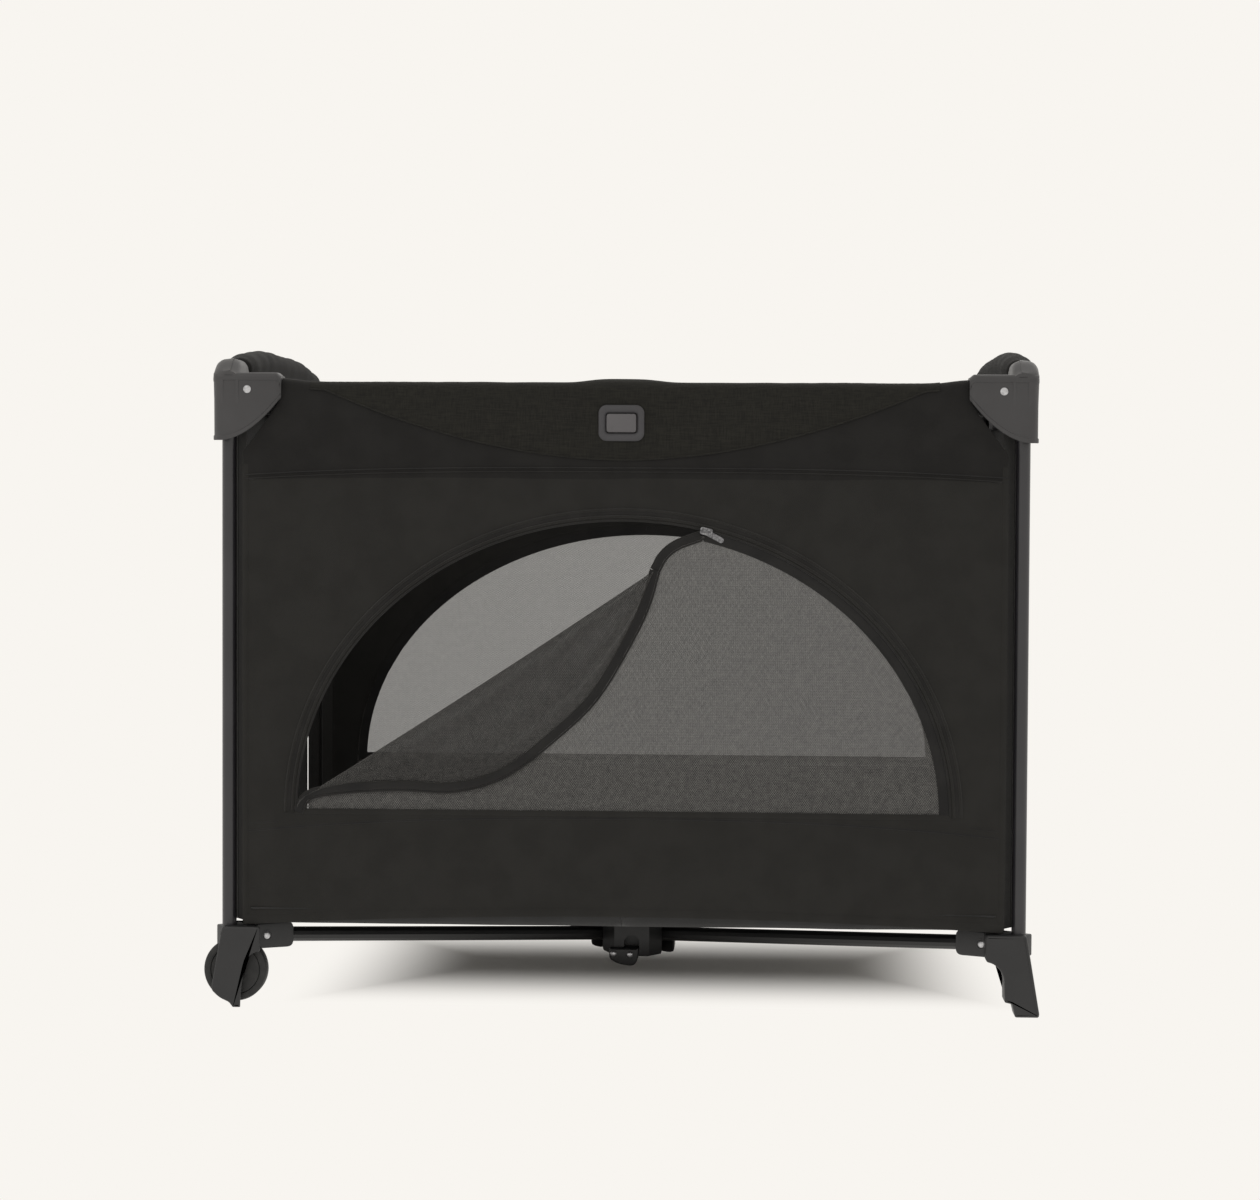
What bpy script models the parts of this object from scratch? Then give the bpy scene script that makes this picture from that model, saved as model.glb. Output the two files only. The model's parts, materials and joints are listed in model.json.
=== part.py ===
"""A folding travel cot used as a playpen: tube frame with a central floor hub, folding top rails,
fabric walls with a zipped mesh door, a fabric floor and a thin mattress.

Metres, +Z up, +X along the length towards the end without wheels, -Y towards the door.
The origin is on the floor, under the middle of the footprint.
"""
import math

import bmesh
import bpy
from mathutils import Matrix, Vector

# ---- Driving dimensions ------------------------------------------------------------------------
UPRIGHT_X = 0.496        # upright axis to the middle, along the length
UPRIGHT_Y = 0.342        # upright axis to the middle, across
UPRIGHT_R = 0.009
UPRIGHT_WALL = 0.0015
UPRIGHT_STOP = 0.031     # upper end of the upright tube, under the rail pivots

CASE_RISE = 0.021        # top of a casing's long wing, over the rail pivots
CASE_DROP = 0.066        # lower edge of a casing, under the rail pivots
CASE_WALL = 0.0035
CASE_OUT = 0.022         # outer face on the long side, out from the upright axis
CASE_OUT_END = 0.018     # outer face on the short side, out from the upright axis
CASE_IN = 0.015          # inner faces, in from the upright axis
LONG_WING = 0.086        # length of the wing on the long side, from the outer corner
SHORT_WING = 0.082       # length of the wing on the short side
EAR_RISE = 0.018         # how far the short wing's top stands above the long wing's
SOCKET_DEPTH = 0.031     # how far the upright stands in the casing

RAIL_R = 0.008
RAIL_Z = 0.776           # height of the rail pivots in the casings
RAIL_PIVOT_IN = 0.026    # rail pivot, in from the upright axis
END_RAIL_RISE = 0.024    # how far the end rails rise from the casing to the latch
PIN_R = 0.0027

LATCH_PIVOT = 0.015      # rail pivot in the latch, from the middle
LATCH_HALF = 0.029       # half the length of a latch housing
LATCH_DROP = 0.063       # lower edge of the housing, under the rail axis
LATCH_RISE = 0.010       # top of the cheeks, over the rail axis
LATCH_WALL = 0.0045      # thickness of a cheek
BEZEL_PROUD = 0.0035     # bezel face, out from the cheek's outer face
BUTTON_DROP = 0.040      # button centre, under the rail axis
BUTTON_SIZE = (0.037, 0.023)
BUTTON_TRAVEL = 0.004

FOOT_SOCKET = 0.011      # depth of the upright's end in the foot
SOCKET_FLOOR = 0.002     # foot under the socket, over the wheel's well
FOOT_REACH = 0.026       # foot's outer edge on the floor, out from the upright axis
BRACKET_HIGH = 0.032     # height of the arm on a foot
BRACKET_FLOOR = 0.0025   # floor of the slot that the bar lies in
BRACKET_CHEEK = 0.0047   # cheeks beside the bar
BRACKET_LENGTH = 0.082   # bracket end, in from the upright axis along the diagonal
BAR_R = 0.0095
BAR_PIN_IN = 0.045       # bar pivot, in from the upright axis along the diagonal
BAR_LIFT = 0.004         # room under the bar in its slot, for its slope
BAR_PIN_R = 0.003

WHEEL_R = 0.040
WHEEL_W = 0.020
WHEEL_GROUND = 0.006     # gap between wheel and floor while the cot stands
WHEEL_BACK = 0.009       # wheel axle, in from the upright axis
WHEEL_SHIFT = 0.0005     # middle of the wheel, out from the upright axis
AXLE_R = 0.004
FORK_IN = 0.034          # inner face of the wheel's fork, in from the upright axis
AXLE_OUT = 0.018         # outer end of the axle's hole, out from the upright axis

HUB_PIN_R = 0.050        # bar pivots in the hub, from the middle
HUB_PIN_Z = 0.048
HUB_HALF = 0.057         # half the width of the hub body across its flats
HUB_LOW = 0.020
FLANGE_HALF = 0.071
FLANGE_THICK = 0.0125
DISH_R = 0.042
DISH_DEPTH = 0.006
PULL_R = 0.030
PULL_STEM_R = 0.008

HEM_OVER_FOOT = 0.010    # lower edge of the fabric walls, over the feet
WALL_THICK = 0.002
WALL_CLEAR = 0.0046      # between a long rail and the wall outside it
WALL_CLEAR_END = 0.0015  # between an end rail and the wall outside it
WALL_EDGE = 0.020        # wall's side edge, in from the upright axis
DOOR_BASE = 0.246        # base line of the half-round openings
DOOR_MARGIN = 0.079      # cloth beside the opening, from its end to the upright axis
DOOR_HEAD = 0.098        # cloth over the opening, up to the latch
ZIP_X = 0.102            # the slider's place along the arch
FLOOR_OVER_FOOT = 0.0025
FLOOR_SHEET_THICK = 0.002
MATTRESS_GAP = 0.001
MATTRESS_THICK = 0.026

# ---- Clearances --------------------------------------------------------------------------------
GAP = 0.0003             # between pieces that touch
STEP_BACK = 0.0005       # keeps the faces of joined shapes from lying in one plane
SLOT_GAP = 0.0008        # each side of a bar or rail in its slot
SWING_ROOM = 0.005       # past a bar's own radius, for its end to turn in
WELL_GAP = 0.003         # round a wheel in its foot
MESH_GAP = 0.008         # between the arch and the door panel inside it

PARTS = "travel_cot"
CUTTERS = "cutters"

# ---- Places worked out from them ---------------------------------------------------------------
RAIL_PIVOT_X = UPRIGHT_X - RAIL_PIVOT_IN
RAIL_PIVOT_Y = UPRIGHT_Y - RAIL_PIVOT_IN
UPRIGHT_HIGH = RAIL_Z - UPRIGHT_STOP
CASE_TOP = RAIL_Z + CASE_RISE
CASE_LOW = RAIL_Z - CASE_DROP
CAVITY_OUT = CASE_OUT - CASE_WALL
CAVITY_OUT_END = CASE_OUT_END - CASE_WALL
CAVITY_IN = CASE_IN - CASE_WALL
END_LATCH_Z = RAIL_Z + END_RAIL_RISE
CHEEK_IN = RAIL_R + SLOT_GAP
CHEEK_OUT = CHEEK_IN + LATCH_WALL
WHEEL_X = UPRIGHT_X - WHEEL_BACK
WHEEL_Y = UPRIGHT_Y + WHEEL_SHIFT
WHEEL_Z = WHEEL_R + WHEEL_GROUND
UPRIGHT_LOW = WHEEL_Z + WHEEL_R + WELL_GAP + SOCKET_FLOOR
FOOT_TOP = UPRIGHT_LOW + FOOT_SOCKET
BRACKET_LOW = FOOT_TOP - BRACKET_HIGH
WALL_HEM = FOOT_TOP + HEM_OVER_FOOT
FLOOR_SHEET_Z = FOOT_TOP + FLOOR_OVER_FOOT
MATTRESS_LOW = FLOOR_SHEET_Z + FLOOR_SHEET_THICK + MATTRESS_GAP
SWING_GAP = BAR_R + SWING_ROOM
BRACKET_W = 2 * (BAR_R + SLOT_GAP + BRACKET_CHEEK)
BAR_PIN_Z = BRACKET_LOW + BRACKET_FLOOR + BAR_R + BAR_LIFT
HUB_TOP = HUB_PIN_Z + SWING_GAP
CAP_LOW = HUB_TOP + GAP
CAP_TOP = CAP_LOW + FLANGE_THICK
WALL_OUT = RAIL_R + WALL_CLEAR
WALL_OUT_END = RAIL_R + WALL_CLEAR_END
WALL_TOP = RAIL_Z + RAIL_R
DOOR_HALF = UPRIGHT_X - DOOR_MARGIN
DOOR_HIGH = RAIL_Z - LATCH_DROP - DOOR_BASE - DOOR_HEAD
FOOTPRINT_SHIFT = (WHEEL_X + WHEEL_R - UPRIGHT_X - FOOT_REACH) / 2
# The rail that carries each latch, as the sign of the latch's own left-right axis.
LATCH_HOME_SIDE = {"front": -1, "rear": 1, "left": 1, "right": -1}
CORNERS = {"front_left": (-1, -1), "front_right": (1, -1), "rear_left": (-1, 1), "rear_right": (1, 1)}

COLOURS = {
    "casing_plastic": ((0.045, 0.044, 0.045), 0.45, 0.0),
    "frame_paint": ((0.046, 0.045, 0.047), 0.35, 0.3),
    "foot_plastic": ((0.025, 0.025, 0.026), 0.5, 0.0),
    "wheel_rubber": ((0.012, 0.012, 0.012), 0.6, 0.0),
    "steel": ((0.40, 0.40, 0.41), 0.3, 1.0),
    "hub_plastic": ((0.022, 0.022, 0.023), 0.5, 0.0),
    "bezel_plastic": ((0.055, 0.054, 0.057), 0.4, 0.0),
    "button_plastic": ((0.097, 0.094, 0.097), 0.4, 0.0),
    "wall_fabric": ((0.021, 0.020, 0.019), 0.9, 0.0),
    "door_mesh": ((0.018, 0.018, 0.018), 0.8, 0.0),
    "mattress_fabric": ((0.10, 0.10, 0.10), 0.9, 0.0),
    "zip_metal": ((0.10, 0.10, 0.10), 0.35, 1.0),
}


# ---- Helpers -----------------------------------------------------------------------------------
def material(name):
    """The named material, made the first time it is asked for."""
    if name in bpy.data.materials:
        return bpy.data.materials[name]
    colour, roughness, metallic = COLOURS[name]
    made = bpy.data.materials.new(name)
    made.use_nodes = True
    shader = made.node_tree.nodes["Principled BSDF"]
    shader.inputs["Base Color"].default_value = (*colour, 1.0)
    shader.inputs["Roughness"].default_value = roughness
    shader.inputs["Metallic"].default_value = metallic
    return made


def add(name, data, finish=None):
    """An object of the model, or a cutter where no finish is given."""
    obj = bpy.data.objects.new(name, data)
    bpy.data.collections[PARTS if finish else CUTTERS].objects.link(obj)
    obj.parent = bpy.data.objects["cot_middle"]
    if finish:
        data.materials.append(material(finish))
    else:
        obj.hide_render = True
        obj.display_type = "WIRE"
    return obj


def mesh_object(name, bm, finish=None, smooth=False):
    """Closes a bmesh into an object with its faces pointing out."""
    bmesh.ops.remove_doubles(bm, verts=bm.verts, dist=1e-6)
    bmesh.ops.recalc_face_normals(bm, faces=bm.faces)
    mesh = bpy.data.meshes.new(name)
    bm.to_mesh(mesh)
    bm.free()
    if smooth:
        mesh.shade_smooth()
        mesh.set_sharp_from_angle(angle=math.radians(35))
    return add(name, mesh, finish)


def box(name, a, b, finish=None, turn=0.0, about=(0, 0)):
    """A box between two corners, turned about a vertical line."""
    a, b = Vector(a), Vector(b)
    size = Vector([abs(p - q) for p, q in zip(a, b)])
    spin = Matrix.Translation((*about, 0)) @ Matrix.Rotation(turn, 4, "Z")
    bm = bmesh.new()
    place = spin @ Matrix.Translation((a + b) / 2) @ Matrix.Diagonal((*size, 1))
    bmesh.ops.create_cube(bm, size=1, matrix=place)
    return mesh_object(name, bm, finish)


def rod(name, start, end, radius, finish=None, sides=24):
    """A solid cylinder between two points."""
    start, end = Vector(start), Vector(end)
    along = end - start
    place = Matrix.Translation((start + end) / 2) @ along.to_track_quat("Z", "Y").to_matrix().to_4x4()
    bm = bmesh.new()
    bmesh.ops.create_cone(bm, cap_ends=True, segments=sides, radius1=radius, radius2=radius,
                          depth=along.length, matrix=place)
    return mesh_object(name, bm, finish, smooth=True)


def prism(name, half_width, low, high, sides=8):
    """An upright prism with flats of the given half width on the X and Y sides."""
    radius = half_width / math.cos(math.pi / sides)
    place = Matrix.Translation((0, 0, (low + high) / 2)) @ Matrix.Rotation(math.pi / sides, 4, "Z")
    bm = bmesh.new()
    bmesh.ops.create_cone(bm, cap_ends=True, segments=sides, radius1=radius, radius2=radius,
                          depth=high - low, matrix=place)
    return bm


def from_curve(curve_object):
    """The shape of a curve object as a bmesh in its place. The curve object goes."""
    bpy.context.view_layer.update()
    graph = bpy.context.evaluated_depsgraph_get()
    mesh = bpy.data.meshes.new_from_object(curve_object.evaluated_get(graph))
    mesh.materials.clear()
    mesh.transform(curve_object.matrix_world)
    bpy.data.objects.remove(curve_object)
    bm = bmesh.new()
    bm.from_mesh(mesh)
    bpy.data.meshes.remove(mesh)
    return bm


def plate(name, outline, low, high, plane, finish=None):
    """A flat outline made thick. plane XZ extrudes along Y, YZ along X and XY along Z, from low to high."""
    curve = bpy.data.curves.new("outline", "CURVE")
    curve.dimensions = "2D"
    curve.fill_mode = "BOTH"
    curve.extrude = abs(high - low) / 2
    spline = curve.splines.new("POLY")
    spline.points.add(len(outline) - 1)
    for point, (u, v) in zip(spline.points, outline):
        point.co = (u, v, 0, 1)
    spline.use_cyclic_u = True
    flat = bpy.data.objects.new("outline", curve)
    bpy.context.scene.collection.objects.link(flat)
    middle = (low + high) / 2
    axes = {"XZ": ((1, 0, 0), (0, 0, 1), (0, 1, 0)), "YZ": ((0, 1, 0), (0, 0, 1), (1, 0, 0)),
            "XY": ((1, 0, 0), (0, 1, 0), (0, 0, 1))}[plane]
    place = Matrix(axes).transposed().to_4x4()
    place.translation = Vector(axes[2]) * middle
    flat.matrix_world = place
    bm = from_curve(flat)
    bmesh.ops.remove_doubles(bm, verts=bm.verts, dist=1e-5)
    return mesh_object(name, bm, finish)


def tube_along(name, points, radius, finish):
    """A round rail along a run of points, with capped ends, as a mesh."""
    curve = bpy.data.curves.new(name, "CURVE")
    curve.dimensions = "3D"
    curve.bevel_depth = radius
    curve.bevel_resolution = 4
    curve.use_fill_caps = True
    spline = curve.splines.new("POLY")
    spline.points.add(len(points) - 1)
    for point, place in zip(spline.points, points):
        point.co = (*place, 1)
    run = bpy.data.objects.new(name + "_run", curve)
    bpy.context.scene.collection.objects.link(run)
    return mesh_object(name, from_curve(run), finish, smooth=True)


def turned(name, profile, place, finish, steps=24):
    """A profile of (radius, height) turned round a line, where place puts the line. It closes on
    itself, unless it starts and ends on the line."""
    mesh = bpy.data.meshes.new(name)
    meets_axis = profile[0][0] == 0
    edges = [(i, (i + 1) % len(profile)) for i in range(len(profile) - meets_axis)]
    mesh.from_pydata([(r, 0, z) for r, z in profile], edges, [])
    obj = add(name, mesh, finish)
    screw = obj.modifiers.new("turn", "SCREW")
    screw.steps = steps
    screw.render_steps = steps
    screw.use_merge_vertices = True
    screw.merge_threshold = 0.00005
    screw.use_smooth_shade = True
    obj.matrix_local = place
    return obj


def boolean(obj, other, operation):
    """Cuts or joins another object, which becomes a hidden guide."""
    step = obj.modifiers.new(operation.lower(), "BOOLEAN")
    step.operation = operation
    step.object = other
    step.solver = "EXACT"
    return obj


def cut(obj, *cutters):
    for cutter in cutters:
        boolean(obj, cutter, "DIFFERENCE")
    return obj


def join(obj, *others):
    for other in others:
        boolean(obj, other, "UNION")
    return obj


def pivot_at(obj, place):
    """Moves an object's origin to its joint's axis, with its shape left where it is."""
    place = Vector(place)
    obj.data.transform(Matrix.Translation(-place))
    obj.location = place
    return obj


def arc(start, end, bulge, steps=6):
    """Points from start to end along a round arc that stands bulge away from the straight line,
    to the left of it, without the two ends."""
    start, end = Vector(start), Vector(end)
    chord = end - start
    half = chord.length / 2
    radius = (half * half + bulge * bulge) / (2 * bulge)
    left = Vector((-chord.y, chord.x)).normalized()
    centre = (start + end) / 2 - left * (radius - bulge)
    first = start - centre
    turn = -2 * math.asin(half / radius)
    spin = [Matrix.Rotation(turn * i / steps, 2) for i in range(1, steps)]
    return [tuple(centre + s @ first) for s in spin]


def rounded(half_u, half_v, radius, centre=(0, 0), steps=4):
    """The outline of a rectangle with round corners."""
    points = []
    for quarter, (su, sv) in enumerate(((1, 1), (-1, 1), (-1, -1), (1, -1))):
        for i in range(steps + 1):
            angle = math.pi / 2 * (quarter + i / steps)
            points.append((centre[0] + su * (half_u - radius) + radius * math.cos(angle),
                           centre[1] + sv * (half_v - radius) + radius * math.sin(angle)))
    return points


def diagonal_turn(sx, sy):
    """The heading from the middle to a corner."""
    return math.atan2(sy * UPRIGHT_Y, sx * UPRIGHT_X)


def on_diagonal(sx, sy, inward, side=0.0):
    """(x, y) of a point inward from a corner's upright axis along the diagonal, and to one side."""
    heading = diagonal_turn(sx, sy)
    out = Vector((math.cos(heading), math.sin(heading)))
    across = Vector((-out.y, out.x))
    return Vector((sx * UPRIGHT_X, sy * UPRIGHT_Y)) - out * inward + across * side


# ---- Corners -----------------------------------------------------------------------------------
def casing(corner, sx, sy):
    """Shell over the upright's top and the ends of two rails, open underneath and inward."""
    name = "casing_" + corner
    outer_x, outer_y = UPRIGHT_X + CASE_OUT_END, UPRIGHT_Y + CASE_OUT
    inner_x, inner_y = UPRIGHT_X - CASE_IN, UPRIGHT_Y - CASE_IN
    ear_top = CASE_TOP + EAR_RISE

    def wing(outer, length, top):
        tip = outer - length
        heel = outer - 0.009
        low_corner, high_corner = (heel, CASE_LOW + 0.002), (tip, CASE_LOW + 0.053)
        sweep = arc(low_corner, high_corner, -0.010)
        return [(outer, top), (outer, CASE_LOW + 0.006), low_corner, *sweep, high_corner, (tip, top)]

    def mirrored(outline, s):
        return [(s * u, v) for u, v in outline]

    long_outline = mirrored(wing(outer_x - STEP_BACK, LONG_WING, CASE_TOP), sx)
    side_outline = mirrored(wing(outer_y - STEP_BACK, SHORT_WING, ear_top), sy)
    shell = plate(name, long_outline, sy * inner_y, sy * outer_y, "XZ", "casing_plastic")
    side = plate(name + "_side", side_outline, sx * inner_x, sx * outer_x, "YZ")
    x_in, x_out = sx * (UPRIGHT_X - CAVITY_IN), sx * (UPRIGHT_X + CAVITY_OUT_END)
    y_in, y_out = sy * (UPRIGHT_Y - CAVITY_IN), sy * (UPRIGHT_Y + CAVITY_OUT)
    reach_x, reach_y = sx * (outer_x - LONG_WING - 0.01), sy * (outer_y - SHORT_WING - 0.01)
    below = CASE_LOW - 0.01
    x_short, y_short = x_out - sx * STEP_BACK, y_out - sy * STEP_BACK
    long_hollow = box(name + "_long_hollow", (reach_x, y_in, below), (x_short, y_out, CASE_TOP - CASE_WALL))
    side_hollow = box(name + "_side_hollow", (x_in, reach_y, below), (x_out, y_short, ear_top - CASE_WALL))
    join(shell, side)
    cut(shell, long_hollow, side_hollow)
    bite = 0.0015
    socket = box(name + "_socket", (x_in - sx * bite, y_in - sy * bite, UPRIGHT_HIGH - SOCKET_DEPTH),
                 (x_out + sx * bite, y_out + sy * bite, UPRIGHT_HIGH + 0.003))
    long_pin = rod(name + "_long_pin", (sx * RAIL_PIVOT_X, y_in - sy * bite, RAIL_Z),
                   (sx * RAIL_PIVOT_X, y_out + sy * bite, RAIL_Z), PIN_R, sides=16)
    side_pin = rod(name + "_side_pin", (x_in - sx * bite, sy * RAIL_PIVOT_Y, RAIL_Z),
                   (x_out + sx * bite, sy * RAIL_PIVOT_Y, RAIL_Z), PIN_R, sides=16)
    join(shell, socket, long_pin, side_pin)
    bore = rod(name + "_bore", (sx * UPRIGHT_X, sy * UPRIGHT_Y, below),
               (sx * UPRIGHT_X, sy * UPRIGHT_Y, UPRIGHT_HIGH + GAP), UPRIGHT_R + GAP)
    return cut(shell, bore)


def upright(corner, sx, sy):
    """Steel tube between a foot and a casing."""
    inner = UPRIGHT_R - UPRIGHT_WALL
    profile = [(UPRIGHT_R, UPRIGHT_HIGH), (UPRIGHT_R, UPRIGHT_LOW), (inner, UPRIGHT_LOW), (inner, UPRIGHT_HIGH)]
    place = Matrix.Translation((sx * UPRIGHT_X, sy * UPRIGHT_Y, 0))
    return turned("upright_" + corner, profile, place, "frame_paint")


def bracket_pieces(name, sx, sy):
    """The arm on a foot that holds the bottom bar: its block, the slot in it and the pin across it."""
    about = (sx * UPRIGHT_X, sy * UPRIGHT_Y)
    turn = diagonal_turn(sx, sy) + math.pi
    half = BRACKET_W / 2
    block = box(name + "_arm", (0, -half, BRACKET_LOW), (BRACKET_LENGTH, half, FOOT_TOP - STEP_BACK),
                None, turn, about)
    slot_half = BAR_R + SLOT_GAP
    slot = box(name + "_slot", (BAR_PIN_IN - SWING_GAP, -slot_half, BRACKET_LOW + BRACKET_FLOOR),
               (BRACKET_LENGTH + 0.01, slot_half, FOOT_TOP + 0.01), None, turn, about)
    ends = [on_diagonal(sx, sy, BAR_PIN_IN, side) for side in (-half + 0.001, half - 0.001)]
    pin = rod(name + "_pin", (*ends[0], BAR_PIN_Z), (*ends[1], BAR_PIN_Z), BAR_PIN_R, sides=16)
    return block, slot, pin


def plain_foot(corner, sx, sy):
    """Moulded leg that flares outward to the floor."""
    name = "foot_" + corner
    x = UPRIGHT_X
    outline = [(x + 0.010, FOOT_TOP), (x + FOOT_REACH, 0.003), (x + FOOT_REACH - 0.002, 0), (x - 0.004, 0),
               (x - 0.010, 0.016), (x - 0.019, 0.018), (x - 0.019, 0.047), (x - 0.024, 0.059),
               (x - 0.036, BRACKET_LOW + STEP_BACK), (x - 0.036, FOOT_TOP)]
    leg = plate(name, [(sx * u, v) for u, v in outline], sy * (UPRIGHT_Y - 0.020), sy * (UPRIGHT_Y + CASE_OUT),
                "XZ", "foot_plastic")
    return finish_foot(leg, name, sx, sy)


def wheel_foot(corner, sx, sy):
    """Moulded fork that holds a wheel behind its outer leg and ends in a toe on the floor."""
    name = "foot_" + corner
    x = UPRIGHT_X
    outline = [(x + 0.006, FOOT_TOP), (x + 0.019, 0.030), (x + 0.019, 0.022), (x + 0.010, 0.012),
               (x - 0.004, 0.005), (x - 0.008, 0), (x - 0.017, 0), (x - 0.018, 0.032), (x - 0.023, 0.056),
               (x - 0.034, BRACKET_LOW + STEP_BACK), (x - 0.036, FOOT_TOP)]
    fork_in = UPRIGHT_Y - FORK_IN
    leg = plate(name, [(sx * u, v) for u, v in outline], sy * fork_in, sy * (UPRIGHT_Y + CASE_OUT),
                "XZ", "foot_plastic")
    half = WHEEL_W / 2 + WELL_GAP
    well = rod(name + "_well", (sx * WHEEL_X, sy * (WHEEL_Y - half), WHEEL_Z),
               (sx * WHEEL_X, sy * (WHEEL_Y + half), WHEEL_Z), WHEEL_R + WELL_GAP, sides=40)
    inner_toe = box(name + "_inner_toe", (sx * (x - 0.05), sy * (fork_in - 0.01), -0.01),
                    (sx * (x + 0.05), sy * (WHEEL_Y - half + 0.001), 0.028))
    hole = rod(name + "_axle_hole", (sx * WHEEL_X, sy * (fork_in + 0.002), WHEEL_Z),
               (sx * WHEEL_X, sy * (UPRIGHT_Y + AXLE_OUT), WHEEL_Z), AXLE_R + GAP)
    finish_foot(leg, name, sx, sy)
    return cut(leg, well, inner_toe, hole)


def finish_foot(leg, name, sx, sy):
    """Adds the bar bracket and the socket for the upright."""
    block, slot, pin = bracket_pieces(name, sx, sy)
    join(leg, block)
    bore = rod(name + "_bore", (sx * UPRIGHT_X, sy * UPRIGHT_Y, UPRIGHT_LOW - GAP),
               (sx * UPRIGHT_X, sy * UPRIGHT_Y, FOOT_TOP + 0.01), UPRIGHT_R + GAP)
    cut(leg, slot, bore)
    return join(leg, pin)


def wheel(corner, sy):
    """Rubber-rimmed wheel with a sunk web."""
    half = WHEEL_W / 2
    profile = [(AXLE_R + GAP, half), (0.014, half), (0.016, half - 0.004), (WHEEL_R - 0.010, half - 0.004),
               (WHEEL_R - 0.008, half), (WHEEL_R - 0.002, half), (WHEEL_R, half - 0.003)]
    profile += [(r, -z) for r, z in reversed(profile)]
    place = Matrix.Translation((-WHEEL_X, sy * WHEEL_Y, WHEEL_Z)) @ Matrix.Rotation(math.pi / 2, 4, "X")
    return turned("wheel_" + corner, profile, place, "wheel_rubber", steps=32)


def axle(corner, sy):
    """Steel pin that the wheel turns on."""
    near, far = UPRIGHT_Y - FORK_IN + 0.002 + GAP, UPRIGHT_Y + AXLE_OUT - GAP
    return rod("axle_" + corner, (-WHEEL_X, sy * near, WHEEL_Z), (-WHEEL_X, sy * far, WHEEL_Z),
               AXLE_R, "steel", sides=16)


# ---- Bottom bars and hub -----------------------------------------------------------------------
def bottom_bar(corner, sx, sy):
    """Tube from a foot's bracket down to the hub."""
    foot = Vector((*on_diagonal(sx, sy, BAR_PIN_IN), BAR_PIN_Z))
    heading = Vector((math.cos(diagonal_turn(sx, sy)), math.sin(diagonal_turn(sx, sy)), 0))
    hub = heading * HUB_PIN_R + Vector((0, 0, HUB_PIN_Z))
    along = (hub - foot).normalized()
    end = BAR_R - 0.0005
    name = "bottom_bar_" + corner
    bar = tube_along(name, [foot - along * end, hub + along * end], BAR_R, "frame_paint")
    across = Vector((-heading.y, heading.x, 0)) * 0.02
    foot_hole = rod(name + "_foot_hole", foot - across, foot + across, BAR_PIN_R + GAP, sides=16)
    hub_hole = rod(name + "_hub_hole", hub - across, hub + across, BAR_PIN_R + GAP, sides=16)
    pivot_at(bar, foot)
    return cut(bar, foot_hole, hub_hole)


def hub_base():
    """Octagonal body with a slot and a pin for each bar, and a lock bracket under its front."""
    base = mesh_object("hub_base", prism("hub_base", HUB_HALF, HUB_LOW, HUB_TOP), "hub_plastic")
    slot_half = BAR_R + SLOT_GAP
    for corner, (sx, sy) in CORNERS.items():
        turn = diagonal_turn(sx, sy)
        slot = box("hub_slot_" + corner, (HUB_PIN_R - SWING_GAP, -slot_half, -0.01),
                   (HUB_HALF * 2, slot_half, HUB_TOP + 0.01), None, turn)
        cut(base, slot)
    for corner, (sx, sy) in CORNERS.items():
        turn = diagonal_turn(sx, sy)
        along = Vector((math.cos(turn), math.sin(turn), 0)) * HUB_PIN_R + Vector((0, 0, HUB_PIN_Z))
        across = Vector((-math.sin(turn), math.cos(turn), 0)) * (slot_half + 0.002)
        join(base, rod("hub_pin_" + corner, along - across, along + across, BAR_PIN_R, sides=16))
    join(base, box("hub_lock", (-0.024, -HUB_HALF - 0.003, 0.008), (0.012, -HUB_HALF + 0.02, HUB_LOW + 0.006)))
    bore = rod("hub_stem_bore", (0, 0, HUB_PIN_Z - 0.012), (0, 0, HUB_TOP + 0.01), PULL_STEM_R + GAP)
    return cut(base, bore)


def hub_cap():
    """Flanged lid with a round dish round the pull."""
    cap = mesh_object("hub_cap", prism("hub_cap", FLANGE_HALF, CAP_LOW, CAP_TOP), "hub_plastic")
    dish = rod("hub_dish", (0, 0, CAP_TOP - DISH_DEPTH), (0, 0, CAP_TOP + 0.01), DISH_R, sides=32)
    bore = rod("hub_cap_bore", (0, 0, CAP_LOW - 0.01), (0, 0, CAP_TOP + 0.01), PULL_STEM_R + GAP)
    return cut(cap, dish, bore)


def hub_pull():
    """Round pull on a stem that releases the hub before it is lifted."""
    seat = CAP_TOP - DISH_DEPTH + GAP
    foot = HUB_PIN_Z - 0.012 + GAP
    profile = [(0, seat + 0.012), (PULL_R - 0.006, seat + 0.012), (PULL_R, seat + 0.007),
               (PULL_R - 0.002, seat), (PULL_STEM_R, seat), (PULL_STEM_R, foot), (0, foot)]
    return turned("hub_pull", profile, Matrix.Identity(4), "button_plastic")


# ---- Top rails and latches ---------------------------------------------------------------------
def long_rail(corner, sx, sy):
    """Straight half rail of a long side, from the casing's pin to the latch."""
    name = "top_rail_" + corner
    outer, inner = RAIL_PIVOT_X + RAIL_R, LATCH_PIVOT - RAIL_R
    rail = tube_along(name, [(sx * outer, sy * UPRIGHT_Y, RAIL_Z), (sx * inner, sy * UPRIGHT_Y, RAIL_Z)],
                      RAIL_R, "frame_paint")
    holes = [rod(name + "_hole_" + where, (sx * x, sy * (UPRIGHT_Y - 0.012), RAIL_Z),
                 (sx * x, sy * (UPRIGHT_Y + 0.012), RAIL_Z), PIN_R + GAP, sides=16)
             for where, x in (("casing", RAIL_PIVOT_X), ("latch", LATCH_PIVOT))]
    pivot_at(rail, (sx * RAIL_PIVOT_X, sy * UPRIGHT_Y, RAIL_Z))
    return cut(rail, *holes)


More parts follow.
